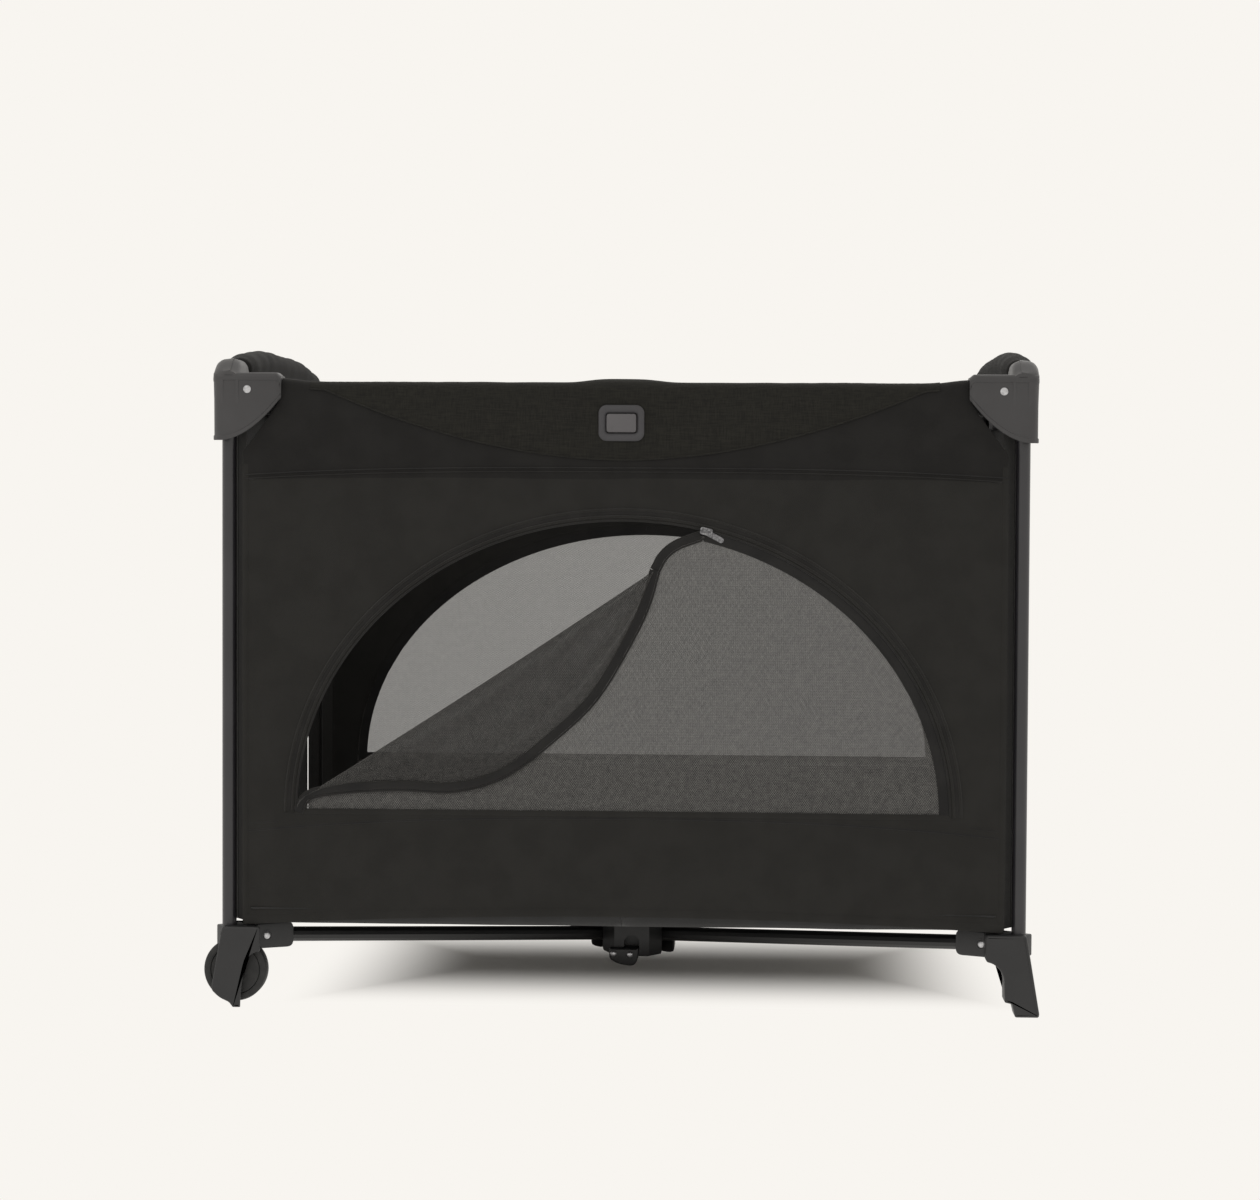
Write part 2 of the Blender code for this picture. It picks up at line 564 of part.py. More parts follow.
def end_rail(corner, sx, sy):
    """Half rail of an end, which rises in an arch from the casing's pin to the latch."""
    name = "end_rail_" + corner
    run = RAIL_PIVOT_Y - LATCH_PIVOT
    points = [(sx * UPRIGHT_X, sy * (RAIL_PIVOT_Y + RAIL_R), RAIL_Z)]
    for i in range(9):
        share = i / 8
        points.append((sx * UPRIGHT_X, sy * (RAIL_PIVOT_Y - share * run),
                       RAIL_Z + END_RAIL_RISE * math.sin(share * math.pi / 2)))
    points.append((sx * UPRIGHT_X, sy * (LATCH_PIVOT - RAIL_R), END_LATCH_Z))
    rail = tube_along(name, points, RAIL_R, "frame_paint")
    holes = [rod(name + "_hole_" + where, (sx * (UPRIGHT_X - 0.012), sy * y, z),
                 (sx * (UPRIGHT_X + 0.012), sy * y, z), PIN_R + GAP, sides=16)
             for where, y, z in (("casing", RAIL_PIVOT_Y, RAIL_Z), ("latch", LATCH_PIVOT, END_LATCH_Z))]
    pivot_at(rail, (sx * UPRIGHT_X, sy * RAIL_PIVOT_Y, RAIL_Z))
    return cut(rail, *holes)


def latch(side, turn, distance, rail_z):
    """Centre latch of one side: a block under the rail ends with two cheeks, and its push button.
    It is made facing -Y at the given distance and then turned about the vertical."""
    face = distance + CHEEK_OUT + BEZEL_PROUD
    seat = rail_z - RAIL_R - 0.006
    low = rail_z - LATCH_DROP

    def span(u0, out0, z0, u1, out1, z1, label, finish=None):
        return box(label, (u0, -out0, z0), (u1, -out1, z1), finish, turn)

    name = "latch_" + side
    cheek_out = distance + CHEEK_OUT
    half = LATCH_HALF - STEP_BACK
    body = span(-half, distance - CHEEK_OUT, low + STEP_BACK, half, cheek_out, rail_z + LATCH_RISE,
                name, "bezel_plastic")
    join(body, span(-LATCH_HALF, cheek_out - STEP_BACK, low, LATCH_HALF, face, seat + 0.004, name + "_bezel"))
    channel = span(-LATCH_HALF - 0.01, distance - CHEEK_IN, seat, LATCH_HALF + 0.01, distance + CHEEK_IN,
                   rail_z + LATCH_RISE + 0.01, name + "_channel")
    half_u, half_z = BUTTON_SIZE[0] / 2, BUTTON_SIZE[1] / 2
    middle = rail_z - BUTTON_DROP
    floor_of_pocket = face - 0.016
    pocket = span(-half_u - GAP, floor_of_pocket, middle - half_z - GAP, half_u + GAP, face + 0.01,
                  middle + half_z + GAP, name + "_pocket")
    cut(body, channel, pocket)
    home_rail_side = LATCH_PIVOT * LATCH_HOME_SIDE[side]
    spin = Matrix.Rotation(turn, 4, "Z")
    pin = rod(name + "_pin", spin @ Vector((home_rail_side, -(distance - CHEEK_OUT + 0.001), rail_z)),
              spin @ Vector((home_rail_side, -(cheek_out - 0.001), rail_z)), PIN_R, sides=16)
    join(body, pin)
    pivot_at(body, spin @ Vector((home_rail_side, -distance, rail_z)))
    button = span(-half_u, floor_of_pocket + BUTTON_TRAVEL + 0.001, middle - half_z, half_u, face + 0.0015,
                  middle + half_z, "button_" + side, "button_plastic")
    pivot_at(button, spin @ Vector((0, -face, middle)))
    return body


# ---- Fabric ------------------------------------------------------------------------------------
def arch_points(half, high, first, last, steps):
    """Points on a half ellipse over the base line, between two angles."""
    angles = [first + (last - first) * i / steps for i in range(steps + 1)]
    return [(half * math.cos(a), DOOR_BASE + high * math.sin(a)) for a in angles]


def long_wall(corner, sx, sy):
    """Half of a long wall. The front one has its half of the door's arch cut out."""
    edge = UPRIGHT_X - WALL_EDGE
    notch = LATCH_HALF + GAP
    low_notch = RAIL_Z - LATCH_DROP - GAP
    inner_x = GAP / 2
    outline = [(edge, WALL_HEM), (edge, CASE_LOW - 0.010), (edge - 0.023, CASE_LOW + 0.050),
               (edge - 0.023, WALL_TOP), (notch, WALL_TOP), (notch, low_notch), (inner_x, low_notch)]
    if sy < 0:
        first, last = 0, math.acos(inner_x / DOOR_HALF)
        outline += reversed(arch_points(DOOR_HALF, DOOR_HIGH, first, last, 12))
        outline += [(inner_x, DOOR_BASE)]
    outline += [(inner_x, WALL_HEM)]
    near = UPRIGHT_Y + WALL_OUT
    return plate("wall_long_" + corner, [(sx * u, v) for u, v in outline], sy * near, sy * (near + WALL_THICK),
                 "XZ", "wall_fabric")


def end_wall(corner, sx, sy):
    """Half of an end wall, under and round the arched end rail."""
    edge = RAIL_PIVOT_Y
    notch = LATCH_HALF + GAP
    low_notch = END_LATCH_Z - LATCH_DROP - GAP
    top = END_LATCH_Z + RAIL_R + 0.020
    outline = [(edge, WALL_HEM), (edge, CASE_LOW - 0.010), (edge - 0.020, CASE_LOW + 0.030),
               (edge - 0.020, CASE_TOP - 0.010), (edge - 0.060, CASE_TOP + 0.008), (edge - 0.160, top),
               (notch, top), (notch, low_notch), (GAP / 2, low_notch), (GAP / 2, WALL_HEM)]
    near = UPRIGHT_X + WALL_OUT_END
    return plate("wall_end_" + corner, [(sy * u, v) for u, v in outline], sx * near, sx * (near + WALL_THICK),
                 "YZ", "wall_fabric")


def fold_height(x):
    """Height of the line that the door's open part is folded along."""
    slope = (zip_height() - DOOR_BASE) / (ZIP_X + DOOR_HALF)
    return DOOR_BASE + (x + DOOR_HALF) * slope


def zip_height():
    """Height of the arch where the slider stands."""
    return DOOR_BASE + DOOR_HIGH * math.sin(math.acos(ZIP_X / DOOR_HALF))


def door_panels():
    """The zipped part of the mesh door, in a left and a right piece, and the open part folded outward."""
    half, high = DOOR_HALF - MESH_GAP, DOOR_HIGH - MESH_GAP
    base = DOOR_BASE + GAP
    near = -(UPRIGHT_Y + WALL_OUT)
    inner = GAP / 2
    left = [(-half, base), (-inner, base), (-inner, fold_height(-inner))]
    plate("door_mesh_left", left, near, near - WALL_THICK, "XZ", "door_mesh")
    angle = math.acos(ZIP_X / half)
    right = [(inner, base), *[(x, z + (GAP if i == 0 else 0)) for i, (x, z) in
                              enumerate(arch_points(half, high, 0, angle, 10))], (inner, fold_height(inner))]
    plate("door_mesh_right", right, near, near - WALL_THICK, "XZ", "door_mesh")
    start = Vector((-DOOR_HALF, DOOR_BASE))
    along = (Vector((ZIP_X, zip_height())) - start).normalized()
    turned_over = []
    for x, z in arch_points(half, high, math.acos(0.12), math.radians(176), 12):
        across = Vector((x, z)) - start
        turned_over.append(tuple(start + 2 * along * across.dot(along) - across))
    near -= WALL_THICK + GAP * 2
    plate("door_flap", turned_over, near, near - 0.0012, "XZ", "door_mesh")


def zip_parts():
    """Makes the zip slider at the top of the closed stretch, and its hanging pull tab."""
    near = -(UPRIGHT_Y + WALL_OUT + WALL_THICK + GAP)
    high = zip_height() - 0.004
    box("zip_slider", (ZIP_X - 0.006, near, high - 0.005), (ZIP_X + 0.006, near - 0.0035, high + 0.005),
        "zip_metal")
    face = near - 0.0035 - GAP
    pull = box("zip_pull", (ZIP_X - 0.003, face, high - 0.024), (ZIP_X + 0.003, face - 0.0013, high + 0.002),
               "zip_metal")
    pivot_at(pull, (ZIP_X, face, high))


def floor_quarter(corner, sx, sy):
    """A quarter of the fabric floor, with its share of the hole over the hub's pull."""
    inner, side, end = GAP / 2, UPRIGHT_Y + WALL_OUT - 0.002, UPRIGHT_X + WALL_OUT_END - 0.001
    outline = [(inner, inner), (end, inner), (end, RAIL_PIVOT_Y), (UPRIGHT_X - 0.016, RAIL_PIVOT_Y),
               (UPRIGHT_X - 0.016, side), (inner, side)]
    name = "floor_" + corner
    sheet = plate(name, [(sx * u, sy * v) for u, v in outline], FLOOR_SHEET_Z,
                  FLOOR_SHEET_Z + FLOOR_SHEET_THICK, "XY", "wall_fabric")
    hole = rod(name + "_hole", (0, 0, FLOOR_SHEET_Z - 0.01), (0, 0, FLOOR_SHEET_Z + 0.01), PULL_R, sides=24)
    return cut(sheet, hole)


def mattress():
    """Thin padded board on the floor sheet."""
    half_x, half_y = UPRIGHT_X - 0.020, UPRIGHT_Y - 0.016
    outline = rounded(half_x, half_y, 0.030)
    return plate("mattress", outline, MATTRESS_LOW, MATTRESS_LOW + MATTRESS_THICK, "XY", "mattress_fabric")


def build():
    for obj in list(bpy.data.objects):
        bpy.data.objects.remove(obj)
    for label in (PARTS, CUTTERS):
        bpy.context.scene.collection.children.link(bpy.data.collections.new(label))
    middle = bpy.data.objects.new("cot_middle", None)
    middle.location = (FOOTPRINT_SHIFT, 0, 0)
    bpy.data.collections[PARTS].objects.link(middle)

    for corner, (sx, sy) in CORNERS.items():
        casing(corner, sx, sy)
        upright(corner, sx, sy)
        if sx < 0:
            wheel_foot(corner, sx, sy)
            wheel(corner, sy)
            axle(corner, sy)
        else:
            plain_foot(corner, sx, sy)
        bottom_bar(corner, sx, sy)
        long_rail(corner, sx, sy)
        end_rail(corner, sx, sy)
        long_wall(corner, sx, sy)
        end_wall(corner, sx, sy)
        floor_quarter(corner, sx, sy)
    hub_base()
    hub_cap()
    hub_pull()
    latch("front", 0, UPRIGHT_Y, RAIL_Z)
    latch("rear", math.pi, UPRIGHT_Y, RAIL_Z)
    latch("left", -math.pi / 2, UPRIGHT_X, END_LATCH_Z)
    latch("right", math.pi / 2, UPRIGHT_X, END_LATCH_Z)
    door_panels()
    zip_parts()
    mattress()


build()
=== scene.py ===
# %% [markdown]
# # A folding travel cot, dressed
# The frame of the cot is already made: tubes, feet, hub and joints. This script adds what the eye
# sees: moulded shells with soft edges, woven walls, mesh windows with their bindings, a zip, padded
# end covers and a mattress. Every piece is made in the frame's own metres, so it fits by itself.
# %% Load the frame
import json
import math

import bmesh
import bpy
import numpy as np
from mathutils import Matrix, Vector, noise

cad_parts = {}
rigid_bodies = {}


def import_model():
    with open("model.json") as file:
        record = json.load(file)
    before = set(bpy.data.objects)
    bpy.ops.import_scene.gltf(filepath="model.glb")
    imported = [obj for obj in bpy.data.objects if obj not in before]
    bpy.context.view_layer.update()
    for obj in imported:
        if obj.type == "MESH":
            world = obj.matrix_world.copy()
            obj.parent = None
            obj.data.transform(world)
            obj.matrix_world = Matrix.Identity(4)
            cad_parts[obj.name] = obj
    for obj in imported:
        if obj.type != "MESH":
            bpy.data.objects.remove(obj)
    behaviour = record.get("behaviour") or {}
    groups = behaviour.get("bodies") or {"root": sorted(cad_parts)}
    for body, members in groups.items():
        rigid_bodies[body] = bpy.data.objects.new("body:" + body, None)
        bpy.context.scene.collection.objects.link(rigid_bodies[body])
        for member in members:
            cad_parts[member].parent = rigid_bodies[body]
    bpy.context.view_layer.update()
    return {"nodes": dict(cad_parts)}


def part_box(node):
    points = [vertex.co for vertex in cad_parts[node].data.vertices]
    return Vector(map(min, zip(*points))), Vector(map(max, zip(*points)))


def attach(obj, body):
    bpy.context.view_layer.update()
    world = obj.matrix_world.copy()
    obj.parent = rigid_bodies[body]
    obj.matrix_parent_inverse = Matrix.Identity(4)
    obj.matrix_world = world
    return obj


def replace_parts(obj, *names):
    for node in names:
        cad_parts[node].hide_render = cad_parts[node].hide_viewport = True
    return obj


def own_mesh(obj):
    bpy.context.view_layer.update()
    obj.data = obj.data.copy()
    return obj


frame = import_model()

# %% [markdown]
# ## Where things are
# The four uprights and the rails set every other place. The cot's middle is half way between the
# left and right uprights, and lengths along a wall are counted from there.
# %% Read the driving places from the frame
post_low, post_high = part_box("upright_front_left")
other_low, other_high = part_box("upright_front_right")
POST_R = (post_high.x - post_low.x) / 2
MID = (post_low.x + other_high.x) / 2
POST_X = (other_low.x + other_high.x) / 2 - MID
POST_Y = -(post_low.y + post_high.y) / 2
rail_low, rail_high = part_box("top_rail_front_left")
RAIL_Z = (rail_low.z + rail_high.z) / 2
casing_low, casing_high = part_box("casing_front_left")
CASE_X = MID - casing_low.x
CASE_Y = -casing_low.y
CASE_LOW = casing_low.z
EAR_TOP = casing_high.z
CORNERS = {"front_left": (-1, -1), "front_right": (1, -1), "rear_left": (-1, 1), "rear_right": (1, 1)}
print("posts at", round(POST_X, 4), round(POST_Y, 4), "rails at", round(RAIL_Z, 4), "middle", round(MID, 4))

# %% [markdown]
# ## Camera
# The cot stands square to us, seen from a little right of its middle and just under the height of
# its top rail, with a long lens so that its sides hardly converge.
# %% Camera
YAW, PITCH, ROLL = math.radians(2.669), math.radians(-2.045), math.radians(0.287)
forward = Vector((-math.sin(YAW) * math.cos(PITCH), math.cos(YAW) * math.cos(PITCH), math.sin(PITCH)))
level = Vector((math.cos(YAW), math.sin(YAW), 0))
upward = level.cross(forward)
right = level * math.cos(ROLL) + upward * math.sin(ROLL)
top = upward * math.cos(ROLL) - level * math.sin(ROLL)
camera = bpy.data.objects.new("camera", bpy.data.cameras.new("camera"))
camera.data.lens = 80
camera.data.sensor_width = 36
camera.matrix_world = Matrix((right, top, -forward)).transposed().to_4x4()
camera.location = (0.1741, -3.8371, 0.6401)
bpy.context.scene.collection.objects.link(camera)
bpy.context.scene.camera = camera
print("camera", [round(v, 3) for v in camera.location], "lens", camera.data.lens)

# %% [markdown]
# ## Making meshes
# Nearly every piece here is one of three shapes: a grid of points, a section carried along a path,
# or a stack of loops. A few short helpers make all three, so that each piece below is only its sizes.
# %% Mesh helpers
def add_object(name, data):
    """Puts a mesh, lamp or camera into the scene."""
    obj = bpy.data.objects.new(name, data)
    bpy.context.scene.collection.objects.link(obj)
    return obj


def dressed(bm, name, finish, body, sharp_from):
    """A finished shape as a smooth piece with its material, riding on a body of the frame."""
    mesh = bpy.data.meshes.new(name)
    bm.to_mesh(mesh)
    bm.free()
    mesh.shade_smooth()
    mesh.set_sharp_from_angle(angle=math.radians(sharp_from))
    mesh.materials.append(finish)
    obj = add_object(name, mesh)
    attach(obj, body)
    return obj


def piece(name, points, faces, finish, body):
    """A closed or open mesh made from points and faces."""
    bm = bmesh.new()
    verts = [bm.verts.new(p) for p in points]
    for face in faces:
        corners = [verts[i] for i in face]
        if len(set(corners)) == len(corners):
            bm.faces.new(corners)
    bmesh.ops.remove_doubles(bm, verts=bm.verts, dist=1e-6)
    loose = [v for v in bm.verts if not v.link_faces]
    bmesh.ops.delete(bm, geom=loose, context="VERTS")
    bmesh.ops.recalc_face_normals(bm, faces=bm.faces)
    return dressed(bm, name, finish, body, 38)


def grid_faces(rows, columns, start=0, wrap=False):
    """The faces of a grid of points counted row by row."""
    faces = []
    for r in range(rows - 1):
        for c in range(columns - (0 if wrap else 1)):
            a, b = start + r * columns + c, start + r * columns + (c + 1) % columns
            faces.append((a, b, b + columns, a + columns))
    return faces


def sweep(name, path, sides, ups, section, finish, body, closed=False):
    """A section of (side, up) points carried along a path, with capped ends."""
    path, sides, ups = (np.array(a, float) for a in (path, sides, ups))
    section = np.array(section, float)
    points = (path[:, None] + sides[:, None] * section[None, :, :1] + ups[:, None] * section[None, :, 1:])
    rows, columns = points.shape[:2]
    faces = grid_faces(rows, columns, wrap=True)
    if closed:
        last = (rows - 1) * columns
        faces += [(last + c, last + (c + 1) % columns, (c + 1) % columns, c) for c in range(columns)]
    else:
        faces += [tuple(range(columns)), tuple(range((rows - 1) * columns, rows * columns))]
    return piece(name, points.reshape(-1, 3), faces, finish, body)


def circle(radius, steps=20):
    return [(radius * math.cos(2 * math.pi * i / steps), radius * math.sin(2 * math.pi * i / steps))
            for i in range(steps)]


def tube(name, path, radius, finish, body, steps=20):
    """A round tube along a path of points."""
    path = np.array(path, float)
    along = np.gradient(path, axis=0)
    along /= np.linalg.norm(along, axis=1)[:, None]
    reference = np.array((0, 0, 1.0)) if abs(along[0, 2]) < 0.9 else np.array((1.0, 0, 0))
    sides = np.cross(along, reference)
    sides /= np.linalg.norm(sides, axis=1)[:, None]
    return sweep(name, path, sides, np.cross(sides, along), circle(radius, steps), finish, body)


def lathe(name, profile, place, finish, body, steps=40):
    """A profile of (radius, height) points turned about the local Z axis of a place."""
    turns = [2 * math.pi * i / steps for i in range(steps)]
    points = [place @ Vector((r * math.cos(t), r * math.sin(t), h)) for r, h in profile for t in turns]
    faces = grid_faces(len(profile), steps, wrap=True)
    faces += [tuple(range(steps)), tuple(range((len(profile) - 1) * steps, len(profile) * steps))]
    return piece(name, points, faces, finish, body)


def stack(name, loops, finish, body):
    """Loops with the same number of points, joined one above the next and capped."""
    columns = len(loops[0])
    points = [p for loop in loops for p in loop]
    faces = grid_faces(len(loops), columns, wrap=True)
    faces += [tuple(range(columns)), tuple(range(len(points) - columns, len(points)))]
    return piece(name, points, faces, finish, body)


def thicken(obj, thickness, offset=0, rim=False):
    """Gives a sheet of cloth its thickness."""
    thick = obj.modifiers.new("cloth_thickness", "SOLIDIFY")
    thick.thickness = thickness
    thick.offset = offset
    thick.use_rim = rim


def paint_node(name, finish):
    """Gives one of the frame's own parts a finish."""
    obj = frame["nodes"][name]
    obj.data.materials.clear()
    obj.data.materials.append(finish)
    return obj


def merged(name, parts):
    """Several meshes on one body made into one piece."""
    bpy.context.view_layer.update()
    first = parts[0]
    with bpy.context.temp_override(active_object=first, selected_editable_objects=parts,
                                   selected_objects=parts, object=first):
        bpy.ops.object.join()
    first.name = name
    first.data.name = name
    return first


def ease(value, low, high):
    """0 below low, 1 above high, and a smooth step between."""
    share = min(1.0, max(0.0, (value - low) / (high - low)))
    return share * share * (3 - 2 * share)


# %% [markdown]
# ## Finishes
# Each finish is a small tree of nodes worked out from the piece's own coordinates, so the weave and
# the grain have a real size in millimetres. Colour changes are faint: these are nearly black goods,
# and their looks come from roughness, weave and how the light rolls off an edge.
# %% Finish helpers
def srgb(*levels):
    """A colour on the 0 to 255 scale as the shader's own numbers."""
    return tuple(((v / 255 + 0.055) / 1.055) ** 2.4 if v > 10 else v / 255 / 12.92 for v in levels)


def new_finish(name, colour, roughness, metallic=0.0, sheen=0.0):
    """A material with one main shader, and its node tree to add to."""
    made = bpy.data.materials.new(name)
    made.use_nodes = True
    tree = made.node_tree
    shader = tree.nodes["Principled BSDF"]
    shader.inputs["Base Color"].default_value = (*colour, 1)
    shader.inputs["Roughness"].default_value = roughness
    shader.inputs["Metallic"].default_value = metallic
    shader.inputs["Sheen Weight"].default_value = sheen
    return made, tree, shader


def link(tree, out, into):
    tree.links.new(out, into)


def add_node(tree, kind, **settings):
    node = tree.nodes.new(kind)
    for key, value in settings.items():
        setattr(node, key, value)
    return node


def math_node(tree, operation, a, b=None):
    node = add_node(tree, "ShaderNodeMath", operation=operation)
    for socket, value in zip(node.inputs, (a, b)):
        if value is None:
            continue
        if isinstance(value, (int, float)):
            socket.default_value = value
        else:
            link(tree, value, socket)
    return node.outputs[0]


def noise_of(tree, scale, detail=3.0, stretch=(1, 1, 1)):
    """Noise in the piece's own metres, stretched along the axes."""
    where = add_node(tree, "ShaderNodeTexCoord")
    place = add_node(tree, "ShaderNodeMapping")
    place.inputs["Scale"].default_value = stretch
    link(tree, where.outputs["Object"], place.inputs["Vector"])
    grain = add_node(tree, "ShaderNodeTexNoise")
    grain.inputs["Scale"].default_value = scale
    grain.inputs["Detail"].default_value = detail
    link(tree, place.outputs["Vector"], grain.inputs["Vector"])
    return grain.outputs["Fac"]


def tint(tree, shader, factor, dark, light, low=0.3, high=0.7):
    """Colours the surface between two shades by a factor."""
    ramp = add_node(tree, "ShaderNodeValToRGB")
    ramp.color_ramp.elements[0].position = low
    ramp.color_ramp.elements[1].position = high
    ramp.color_ramp.elements[0].color = (*dark, 1)
    ramp.color_ramp.elements[1].color = (*light, 1)
    link(tree, factor, ramp.inputs["Fac"])
    link(tree, ramp.outputs["Color"], shader.inputs["Base Color"])


def bump(tree, shader, height, distance, strength=1.0):
    node = add_node(tree, "ShaderNodeBump")
    node.inputs["Distance"].default_value = distance
    node.inputs["Strength"].default_value = strength
    link(tree, height, node.inputs["Height"])
    link(tree, node.outputs["Normal"], shader.inputs["Normal"])


def threads(tree, pitch, flat=False):
    """Two crossing sets of threads, as heights from 0 to 1, with their two directions."""
    where = add_node(tree, "ShaderNodeTexCoord")
    split = add_node(tree, "ShaderNodeSeparateXYZ")
    link(tree, where.outputs["Object"], split.inputs[0])
    x, y, z = split.outputs
    across = x if flat else math_node(tree, "ADD", x, y)
    rise = y if flat else z
    turn = 2 * math.pi / pitch
    warp = math_node(tree, "SINE", math_node(tree, "MULTIPLY", across, turn))
    weft = math_node(tree, "SINE", math_node(tree, "MULTIPLY", rise, turn))
    return warp, weft


def woven(name, dark, light, pitch=0.0011, flat=False, roughness=0.92, slub=0.0, sheen=0.15):
    """Plain woven polyester. Slub adds the long thick and thin places of a melange yarn."""
    made, tree, shader = new_finish(name, light, roughness, sheen=sheen)
    shader.inputs["Sheen Roughness"].default_value = 0.6
    shader.inputs["Specular IOR Level"].default_value = 0.25
    warp, weft = threads(tree, pitch, flat)
    weave = math_node(tree, "MULTIPLY", warp, weft)
    cloudy = noise_of(tree, 26, 4)
    if slub:
        along = noise_of(tree, 60, 2, (1, 1, 14))
        across = noise_of(tree, 60, 2, (14, 14, 1))
        cloudy = math_node(tree, "MULTIPLY", math_node(tree, "ADD", along, across), 0.5)
    mixed = math_node(tree, "ADD", math_node(tree, "MULTIPLY", weave, 0.05), cloudy)
    tint(tree, shader, mixed, dark, light, 0.38, 0.62)
    bump(tree, shader, weave, 0.00012, 0.6)
    return made


def moulded(name, dark, light, roughness=0.45, grain=1400):
    """Injection moulded plastic with the fine spark texture of its mould."""
    made, tree, shader = new_finish(name, light, roughness)
    tint(tree, shader, noise_of(tree, 18, 3), dark, light)
    rough = add_node(tree, "ShaderNodeMapRange")
    rough.inputs["To Min"].default_value = roughness - 0.06
    rough.inputs["To Max"].default_value = roughness + 0.08
    link(tree, noise_of(tree, 90, 2), rough.inputs["Value"])
    link(tree, rough.outputs["Result"], shader.inputs["Roughness"])
    bump(tree, shader, noise_of(tree, grain, 2), 0.00006, 0.5)
    return made


# %% [markdown]
# Now the finishes themselves. The walls are a plain charcoal weave, and the lens-shaped panel on the
# top rail a darker melange. Tubes are satin black paint over steel, the shells are matt plastic, and
# the windows are knitted mesh, which is a sheet full of small holes: where a hole is, the surface lets
# the light straight through.
# %% Finishes
wall_cloth = woven("wall_cloth", srgb(29, 28, 26), srgb(33, 32, 30), sheen=0.08)
cover_cloth = woven("cover_cloth", srgb(22, 21, 20), srgb(27, 26, 25), sheen=0.06)
melange_cloth = woven("melange_cloth", srgb(17, 16, 13), srgb(32, 31, 26), slub=1.0, sheen=0.06)
binding_cloth = woven("binding_cloth", srgb(17, 16, 16), srgb(26, 25, 24), pitch=0.0016)
piping_cloth = woven("piping_cloth", srgb(26, 25, 24), srgb(33, 32, 31), pitch=0.0014, sheen=0.08)
floor_cloth = woven("floor_cloth", srgb(24, 24, 24), srgb(32, 32, 32), flat=True)
pad_cloth = woven("pad_cloth", srgb(84, 84, 85), srgb(104, 104, 105), pitch=0.0014, flat=True, slub=1.0)
casing_plastic = moulded("casing_plastic", srgb(50, 49, 50), srgb(57, 56, 57), 0.42)
ear_plastic = moulded("ear_plastic", srgb(52, 51, 52), srgb(60, 59, 60), 0.40)
foot_plastic = moulded("foot_plastic", srgb(27, 27, 28), srgb(33, 33, 34), 0.46)
hub_plastic = moulded("hub_plastic", srgb(14, 14, 15), srgb(22, 22, 23), 0.42)
bezel_plastic = moulded("bezel_plastic", srgb(50, 49, 51), srgb(57, 56, 59), 0.5)
button_plastic = moulded("button_plastic", srgb(76, 74, 76), srgb(84, 82, 84), 0.45)


def painted_tube(name, dark, light, coat):
    """Black satin paint on steel: nearly even, with a little orange peel."""
    made, tree, shader = new_finish(name, light, 0.32)
    shader.inputs["Coat Weight"].default_value = coat
    shader.inputs["Coat Roughness"].default_value = 0.2
    tint(tree, shader, noise_of(tree, 12, 3), dark, light)
    bump(tree, shader, noise_of(tree, 700, 2), 0.00004, 0.4)
    return made


def grained(name, base, dark, light, roughness, metallic, cloud, fine=None, height=0.0):
    """Rubber or bare metal: clouded between two shades, with a fine grain where one is given."""
    made, tree, shader = new_finish(name, base, roughness, metallic=metallic)
    tint(tree, shader, noise_of(tree, *cloud), dark, light)
    if fine:
        bump(tree, shader, noise_of(tree, *fine), height, 0.5)
    return made


def knitted_mesh(name, dark, light, pitch, solid):
    """Warp-knitted mesh: rows of small holes set like bricks, with rounded yarn between them."""
    made, tree, shader = new_finish(name, light, 0.9, sheen=0.1)
    where = add_node(tree, "ShaderNodeTexCoord")
    split = add_node(tree, "ShaderNodeSeparateXYZ")
    link(tree, where.outputs["Object"], split.inputs[0])
    across = math_node(tree, "ADD", split.outputs[0], split.outputs[1])
    slant = math_node(tree, "MULTIPLY", split.outputs[2], 0.62)
    rising = math_node(tree, "MULTIPLY", math_node(tree, "ADD", across, slant), 2 * math.pi / pitch)
    falling = math_node(tree, "MULTIPLY", math_node(tree, "SUBTRACT", across, slant), 2 * math.pi / pitch)
    lattice = math_node(tree, "MULTIPLY", math_node(tree, "SINE", rising), math_node(tree, "SINE", falling))
    holes = add_node(tree, "ShaderNodeMapRange", interpolation_type="SMOOTHSTEP")
    holes.inputs["From Min"].default_value = 0.05
    holes.inputs["From Max"].default_value = 0.45
    holes.inputs["To Min"].default_value = 1.0
    holes.inputs["To Max"].default_value = solid
    link(tree, math_node(tree, "ABSOLUTE", lattice), holes.inputs["Value"])
    link(tree, holes.outputs["Result"], shader.inputs["Alpha"])
    tint(tree, shader, noise_of(tree, 160, 3), dark, light)
    bump(tree, shader, lattice, 0.0003, 0.6)
    return made


tube_paint = painted_tube("tube_paint", srgb(32, 31, 34), srgb(40, 39, 42), 0.25)
# A darker copy of the tube paint: painted shade for the bottom bars, which lie in the shade under the cot. The
# rails hidden in the cloth take it too.
bar_paint = painted_tube("bar_paint", srgb(11, 11, 12), srgb(17, 17, 18), 0.05)
tyre_rubber = grained("wheel_rubber", srgb(24, 24, 24), srgb(18, 18, 18), srgb(34, 34, 33), 0.62, 0.0,
                      (120, 4), (900, 3), 0.0001)
rivet_steel = grained("rivet_steel", srgb(190, 190, 192), srgb(160, 160, 162), srgb(205, 205, 207), 0.34, 1.0,
                      (300, 3), (2500, 2), 0.00003)
slider_metal = grained("zip_metal", srgb(110, 110, 112), srgb(70, 70, 72), srgb(150, 150, 152), 0.3, 1.0,
                      (400, 3))
window_mesh = knitted_mesh("window_mesh", srgb(70, 69, 67), srgb(84, 83, 80), 0.0042, 0.64)
door_mesh = knitted_mesh("door_mesh", srgb(72, 71, 70), srgb(88, 87, 85), 0.0046, 0.62)
# The folded flap is the door's mesh again, made darker: painted shade for the folded layer.
flap_mesh = knitted_mesh("flap_mesh", srgb(42, 41, 40), srgb(58, 57, 55), 0.0046, 0.62)
print(len(bpy.data.materials), "finishes")
